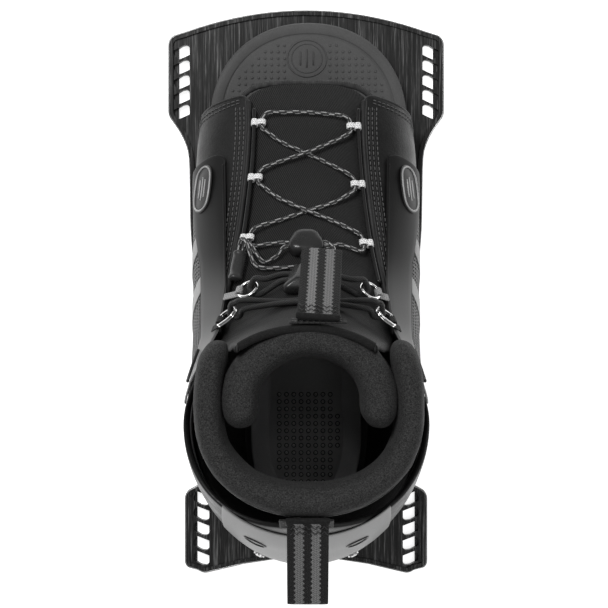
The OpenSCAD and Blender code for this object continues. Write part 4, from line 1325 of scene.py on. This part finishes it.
def patch_block(name, f, x0, x1, y0, y1, z0, z1, body, node):
    """A sewn-on patch with soft edges and two rows of zigzag stitches."""
    s, t = np.meshgrid(np.linspace(0, 1, 25), np.linspace(0, 1, 13))
    grids = []
    for z in (z1, z0):
        grids.append(np.stack([f[0][k] + f[1][k] * mix(x0, x1, s) + f[2][k] * mix(y0, y1, t) + f[3][k] * z
                               for k in range(3)], axis=-1))
    piece = closed_sheet(name, grids[0], grids[1], STRAP_DARK, body)
    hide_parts(node)
    half = (x1 - x0) / 2 - 1
    moved = (f[0] + f[1] * (x0 + x1) / 2, f[1], f[2], f[3])
    stitches = gather(zigzag(moved, y0 + 2.2, half, z1 + 0.1) + zigzag(moved, y1 - 2.2, half, z1 + 0.1))
    make_parts(name + "_stitches", stitches, THREAD_LIGHT, body)


def tab_root(word, foot, seam, across, body):
    """The strap between the patch and the seam that the pull tab turns on, with the rolled seam itself."""
    foot, seam = np.array(foot, float), np.array(seam, float)
    path = [mix(foot, seam, t) for t in np.linspace(0, 1, 12)]
    ribbon(word + "_tab_root", path, across, 10.8, 0.8, STRAP_DARK, body, 20)
    roll = [seam + unit(across) * x for x in np.linspace(-11.2, 11.2, 24)]
    tube(word + "_tab_seam", roll, 1.75, NEOPRENE_DARK, 14, body)


FRONT_PATCH = skin_frame(7.62, 0.0, TONGUE_D - 1.2)
REAR_PATCH = skin_frame(7.86, 180.0, -0.2)
tab_root("front", in_frame(FRONT_PATCH, (6, -3, 0.8)), FRONT_SEAM,
         tab_frame(FRONT_SEAM, FRONT_DROOP, FRONT_TURN)[1], "tongue_top")
tab_root("rear", in_frame(REAR_PATCH, (0, 0, 0.8)), REAR_SEAM, (1, 0, 0), "boot")
patch_block("tab_patch_front", (FRONT_PATCH[0] + [6, 0, 0], *FRONT_PATCH[1:]), -14.5, 14.5, -6, 6, 0, 1,
            "tongue_top", "tab_patch")
patch_block("tab_patch_rear", REAR_PATCH, -14, 14, -9, 7, 0, 1, "boot", "rear_tab_patch")


# ---------------------------------------------------------------- lower lacing
# Sections of the loops and of the rods' ends, for the left (-1) and right (1) side.
LOOPS = {-1: (1.02, 2.03, 2.95), 1: (1.1, 2.14, 3.04)}
ROD_END = {-1: 3.08, 1: 3.7}


def edge_x(v):
    return along(THROAT, v) - 3.4


def loop_at(v):
    return skin_frame(v, angle_at(v, edge_x(v), 0), 0.9)


for side, word in ((-1, "left"), (1, "right")):
    v = np.linspace(0.72, ROD_END[side], 120)
    rod = tube("lace_rod_sleeve_" + word, mirrored(on_top(v, edge_x(v), 0.9), side), 1.3, GLOSS_PLASTIC, 16)
    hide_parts("lace_rod_" + word)
    for number, v in enumerate(LOOPS[side]):
        f = loop_at(v)
        for which, centre, radius in (("a", (0.0, 0.0), 1.85), ("b", (-4.2, 0.4), 1.7)):
            reach = radius * (1.35 if which == "b" else 1.0)
            around = in_all(f, [(centre[0] + reach * math.cos(a), 0, centre[1] + radius * math.sin(a))
                                for a in np.linspace(0, 2 * math.pi, 36, endpoint=False)])
            loop = ribbon("lace_loop_%s_%d_%s" % (word, number + 1, which), mirrored(around, side),
                          f[2] * [side, 1, 1], 2.1 if which == "a" else 1.7, 0.42, STRAP_WHITE, "boot",
                          16, True)
            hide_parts("lace_loops_" + word)

LACE_LOCK_L, UPPER_LOCK_L = 17, 20  # lengths of the two locks
CORD_Z = 4.6                        # height of the cords and the button in a lock
LOCK_AT = skin_frame(3.13, 0.0, TONGUE_D)
UPPER_AT = skin_frame(3.93, 0.0, TONGUE_D - 1.6)
GRIP_AT = skin_frame(3.2, -angle_at(3.2, 37.0, 0), -1.4)
LINK_AT = skin_frame(4.9, angle_at(4.9, 42.5, 0), -4.0)
RING_X = {-1: 31.8, 1: 34.8}  # each ring's distance from the middle
RING_AT = {side: skin_frame(4.02, angle_at(4.02, x, 0), -2.3) for side, x in RING_X.items()}


def over(points):
    return [on_top(v, x, TONGUE_D - 2.2 - lift) for x, v, lift in points]


def turn_in(side, v, start, end):
    """The lace in a loop, from one side of its webbing to the other."""
    f = loop_at(v)
    path = [(-8, -6.4 * start, 0.9), (-4.4, -2.9 * start, 0.4),
            (-4.4, -2.9 * end, 0.4), (-8, -6.4 * end, 0.9)]
    return [in_frame(f, p) * [side, 1, 1] for p in path]


left, right = LOOPS[-1], LOOPS[1]
lace_points = (
    in_all(GRIP_AT, [(1.5, -4, 0), (1.5, 2.5, 0), (2.6, 5.8, 1), (7, 3.2, 1.6), (10.2, -2, 0.6)])
    + in_all(LOCK_AT, [(-24, -12.5, 1.6), (-16.5, -8.5, 2.6), (-12.5, -3.65, 4.6), (-5, -3.05, 4.6),
                       (5, -3.05, 4.6), (11.5, -3.05, 4.2)])
    + over([(20, 3.1, 1.2)])
    + turn_in(1, right[2], 1, -1) + over([(15, 2.7, 1.5), (0, 2.55, 2.5), (-16, 2.36, 1.5)])
    + turn_in(-1, left[1], 1, -1) + over([(-15, 1.76, 1.4), (0, 1.61, 2.4), (15, 1.42, 1.4)])
    + turn_in(1, right[0], 1, -1) + over([(14, 0.84, 0.9), (0, 0.8, 1), (-14, 0.8, 0.9)])
    + turn_in(-1, left[0], -1, 1) + over([(-14, 1.42, 0.3), (0, 1.61, -0.4), (15, 1.82, 0.3)])
    + turn_in(1, right[1], -1, 1) + over([(16, 2.42, 0.3), (0, 2.55, -0.4), (-16, 2.69, 0.3)])
    + turn_in(-1, left[2], -1, 1) + over([(-20, 3.08, 1.2)])
    + in_all(LOCK_AT, [(-11.5, 0.05, 4.2), (-5, 0.05, 4.6), (5, 0.05, 4.6), (12.5, -0.75, 4.6), (16, -7, 4.4),
                       (10, -14, 3), (-4, -16.4, 2.4), (-18, -17, 1.6), (-28, -15.5, 1.4)])
    + in_all(GRIP_AT, [(8.2, -4.5, 1.8), (6.2, 2, 4.4), (1.5, 7, 3.4), (-1.5, 4, 0.4), (-1.5, -4, 0)]))
lace_line, _ = resample(smooth_line(lace_points, 8), 1.0)
lace = tube("lace_cord", lace_line,
            lambda run, a: 1.14 + 0.06 * np.sin(run * 2.4 + 2 * a) * np.sin(4 * a), LACE_CORD, 16)
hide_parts("lace")

# The grip's distance along it and its radius there.
sleeve = [(0, 2.3), (0.25, 2.65), (0.8, 2.8), (1.8, 2.8), (2.2, 2.6), (4, 2.65), (7, 2.7), (10, 2.7),
          (13, 2.65), (16.4, 2.6), (16.9, 2.8), (18.2, 2.8), (18.8, 2.6), (19, 2.2)]
grip = tube("lace_end_sleeve", in_all(GRIP_AT, [(0, -y, 0) for y, _ in sleeve]),
            np.array([r for _, r in sleeve]), GRIP_PLASTIC, 28, shape=(1.5, 1.0))
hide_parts("lace_end_grip")


# ---------------------------------------------------------------- cord locks
def hull_outline(corners, r, n=10):
    """An anticlockwise outline round equal circles at the corners, also given anticlockwise."""
    points = []
    count = len(corners)
    for i in range(count):
        here, after, before = (np.array(corners[j % count], float) for j in (i, i + 1, i - 1))
        a0 = math.atan2(*(here - before)[::-1]) - math.pi / 2
        a1 = math.atan2(*(after - here)[::-1]) - math.pi / 2
        if a1 < a0:
            a1 += 2 * math.pi
        points += [here + r * np.array([math.cos(a), math.sin(a)]) for a in np.linspace(a0, a1, n)]
    return np.array(points)


def lock_shell(name, f, w, l, taper, r, profile, body, node):
    """A moulded lock body lofted from scaled copies of its outline: (x share, y share, y shift, height)."""
    outline = hull_outline([(w / 2 - taper - r, l / 2 - r), (-w / 2 + taper + r, l / 2 - r),
                            (-w / 2 + r, r - l / 2), (w / 2 - r, r - l / 2)], r)
    n = len(outline)
    verts, faces = [], [list(range(n))[::-1]]
    for k, (kx, ky, shift, z) in enumerate(profile):
        verts += [in_frame(f, (x * kx, y * ky + shift, z)) for x, y in outline]
        if k:
            faces += ring_faces(n, k - 1)
    faces.append([(len(profile) - 1) * n + i for i in range(n)])
    piece = finish_normals(make(name, verts, faces, LOCK_PLASTIC, None, body), 42)
    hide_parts(node)


def lock_button(name, f, l, body, node):
    """A lock's button, with a ribbed head outside the lock and a shaft inside it."""
    ys = [-l / 2 - y for y in (4.4, 4.2, 3.7, 3.2, 2.7, 2.4, 2.3)] + [l / 2 - 6, l / 2 - 5]
    rs = [2.9, 3.5, 3.8, 3.55, 3.8, 3.7, 2.6, 2.6, 2.4]
    piece = tube(name, [in_frame(f, (0, y, CORD_Z)) for y in ys], np.array(rs), BUTTON_PLASTIC, 28, body)
    finish_normals(piece, 35)
    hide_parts(node)


def lock_spring(name, f, l, node):
    """The coil between a button and the end of its bore."""
    y0, y1 = l / 2 - 4.3, l / 2 - 2
    turns = 6 * math.pi
    coil = [in_frame(f, (1.8 * math.cos(a), mix(y0, y1, a / turns), CORD_Z + 1.8 * math.sin(a)))
            for a in np.linspace(0, turns, 90)]
    piece = tube(name, coil, 0.26, STEEL, 8)
    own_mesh(piece)
    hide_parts(node)


lock_shell("lace_lock_dome", LOCK_AT, 21, LACE_LOCK_L, 2, 6.2, [
    (0.96, 0.96, 0, 0.8), (1, 1, 0, 1.2), (1, 1, 0, 4.4), (0.985, 0.985, 0, 5.8), (0.94, 0.94, 0.1, 7.0),
    (0.86, 0.86, 0.2, 7.9), (0.72, 0.72, 0.3, 8.5), (0.5, 0.5, 0.3, 8.75), (0.2, 0.2, 0.3, 8.8)],
    "boot", "lace_lock_body")
lock_shell("bungee_lock_wedge", UPPER_AT, 26, UPPER_LOCK_L, 5, 2.5, [
    (0.97, 0.97, 0, 0.8), (1, 1, 0, 1.3), (1, 1, 0, 4.6), (0.97, 0.97, 0, 5.3), (0.88, 0.93, 0.1, 6.2),
    (0.5, 0.7, 1.6, 8.4), (0.46, 0.66, 1.7, 8.7), (0.4, 0.6, 1.7, 8.8)], "boot", "bungee_lock_body")
lock_spring("lace_lock_coil", LOCK_AT, LACE_LOCK_L, "lace_lock_spring")
lock_spring("bungee_lock_coil", UPPER_AT, UPPER_LOCK_L, "bungee_lock_spring")
lock_button("lace_lock_push", LOCK_AT, LACE_LOCK_L, "lace_button", "lace_lock_button")
lock_button("bungee_lock_push", UPPER_AT, UPPER_LOCK_L, "bungee_button", "bungee_lock_button")


# ---------------------------------------------------------------- rings, links and elastic cords
def bight(f, side, bar, y, r, far):
    """A cord over and under the inner bar of a ring or link."""
    path = [(-bar - far, y, r), (-bar - 2.6, y, r + 1.6), (-bar, y, r + 2), (3 - bar, 0.8 * y, 0.9 * r),
            (4.8 - bar, 0.2 * y, -0.4), (3 - bar, -0.7 * y, -r - 0.4), (-bar, -y, -r - 1.6),
            (-bar - 2.6, -y, -r - 1.1), (-bar - far, -y, -r)]
    return [in_frame(f, p) * [side, 1, 1] for p in path]


def elastic_half(name, points, radius):
    """Half of an elastic cord, between the boot and the ring or link that holds it."""
    line, _ = resample(smooth_line(points, 5), 0.9)
    piece = tube(name, line, lambda run, a: radius * (1 + 0.02 * np.sin(run * 3 + 3 * a)), ELASTIC, 16, None)
    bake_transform(piece)
    return piece


for side, word, far in ((1, "right", 8), (-1, "left", 6)):
    letter = word[0]
    strand = in_all(UPPER_AT, [(side * x, 3, CORD_Z) for x in (0.0, 6, 13.6)])
    other = in_all(UPPER_AT, [(side * x, -3, CORD_Z) for x in (13.6, 6, 0.0)])
    route = strand + bight(RING_AT[side], side, 5.8, 3, 1.7, far) + other
    half = elastic_half("upper_elastic_" + word, route, 1.7)
    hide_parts("bungee")
    strand = [on_top(4.78, side * x, 1.2) for x in (0.0, 14)]
    other = [on_top(4.95, side * x, 1.2) for x in (14, 0.0)]
    route = strand + bight(LINK_AT, side, 8.2, 2.1, 1.6, 8) + other
    half = elastic_half("cuff_elastic_" + word, route, 1.6)
    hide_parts("cuff_cord")

    link_path = [(4.5, 0, 0), (4.5, 3.2, 0), (3.2, 4.6, 0), (-2, 4.6, 0), (-6.4, 3.6, 0), (-8.2, 0, 0),
                 (-6.4, -3.6, 0), (-2, -4.6, 0), (3.2, -4.6, 0), (4.5, -3.2, 0), (4.5, 0, 0)]
    wire = smooth_line([link_path[-2]] + link_path + [link_path[1]], 8)[8:-9]
    wires = [mirrored(in_all(LINK_AT, wire + [0, 0, dz]), side) for dz in (-0.55, 0.55)]
    link = make_parts("chrome_link_" + word, gather([tube_parts(w, 0.62, 12, close=True) for w in wires]),
                      CHROME, "link_" + letter)
    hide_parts("hook_link_" + word)

    for node, f, x, tail, material in (
            ("ring_webbing_", RING_AT[side], 5.5, 42.6 - RING_X[side], STRAP_GREY),
            ("hook_webbing_", LINK_AT, 4.5, 8, STRAP_DARK)):
        turn = [(x + 1.72 * math.cos(a), 1.72 * math.sin(a))
                for a in np.linspace(math.radians(20), math.radians(262), 22)]
        leg = [(q, -1.55) for q in np.linspace(x + 0.8, x + tail, 14)]
        path = [in_frame(f, (a, 0, b)) for a, b in turn + leg]
        strap = ribbon(node + "fold_" + word, mirrored(path, side), f[2] * [side, 1, 1], 2.5, 0.42, material,
                       "boot", 16)
        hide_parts(node + word)

    t = np.linspace(0, 1, 90)
    cable_line = skin(mix(5.05, 6.2, t), mix(59, 66, t) + 4 * np.sin(np.pi * t), -3.4)
    cable = tube("cuff_cable_cord_" + word, mirrored(cable_line, side), 0.9, ELASTIC, 14)
    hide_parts("cuff_cable_" + word)


# ---------------------------------------------------------------- floor, light and backdrop
floor_z = CAD_BOX[0].z * 1000 - 0.1
paper = Paint("floor_paper", rough=0.9, level=0.2)
paper.shader.inputs["Base Color"].default_value = (0.9, 0.9, 0.9, 1)
paper.shader.inputs["Emission Color"].default_value = (1, 1, 1, 1)
paper.shader.inputs["Emission Strength"].default_value = 0.8
floor_corners = [(x * 3000, y * 3000, floor_z) for x, y in ((-1, -1), (1, -1), (1, 1), (-1, 1))]
floor = make("floor", floor_corners, [[0, 1, 2, 3]], paper.mat, None, None, False)


def soft_light(name, place, size, power):
    data = bpy.data.lights.new(name, "AREA")
    data.shape, data.size, data.energy = "DISK", size, power
    lamp = bpy.data.objects.new(name, data)
    SCENE.collection.objects.link(lamp)
    lamp.location = place
    lamp.rotation_euler = (-Vector(place)).to_track_quat("-Z", "Y").to_euler()
    return lamp


key = soft_light("key", (-0.7, 0.9, 1.7), 0.8, 27)
fill = soft_light("fill", (0.9, -0.5, 1.6), 1.3, 9)
SCENE.view_settings.view_transform = "Standard"
world = bpy.data.worlds.new("studio")
SCENE.world = world
world.use_nodes = True
world.node_tree.nodes["Background"].inputs[0].default_value = (1, 1, 1, 1)
world.node_tree.nodes["Background"].inputs[1].default_value = 0.3
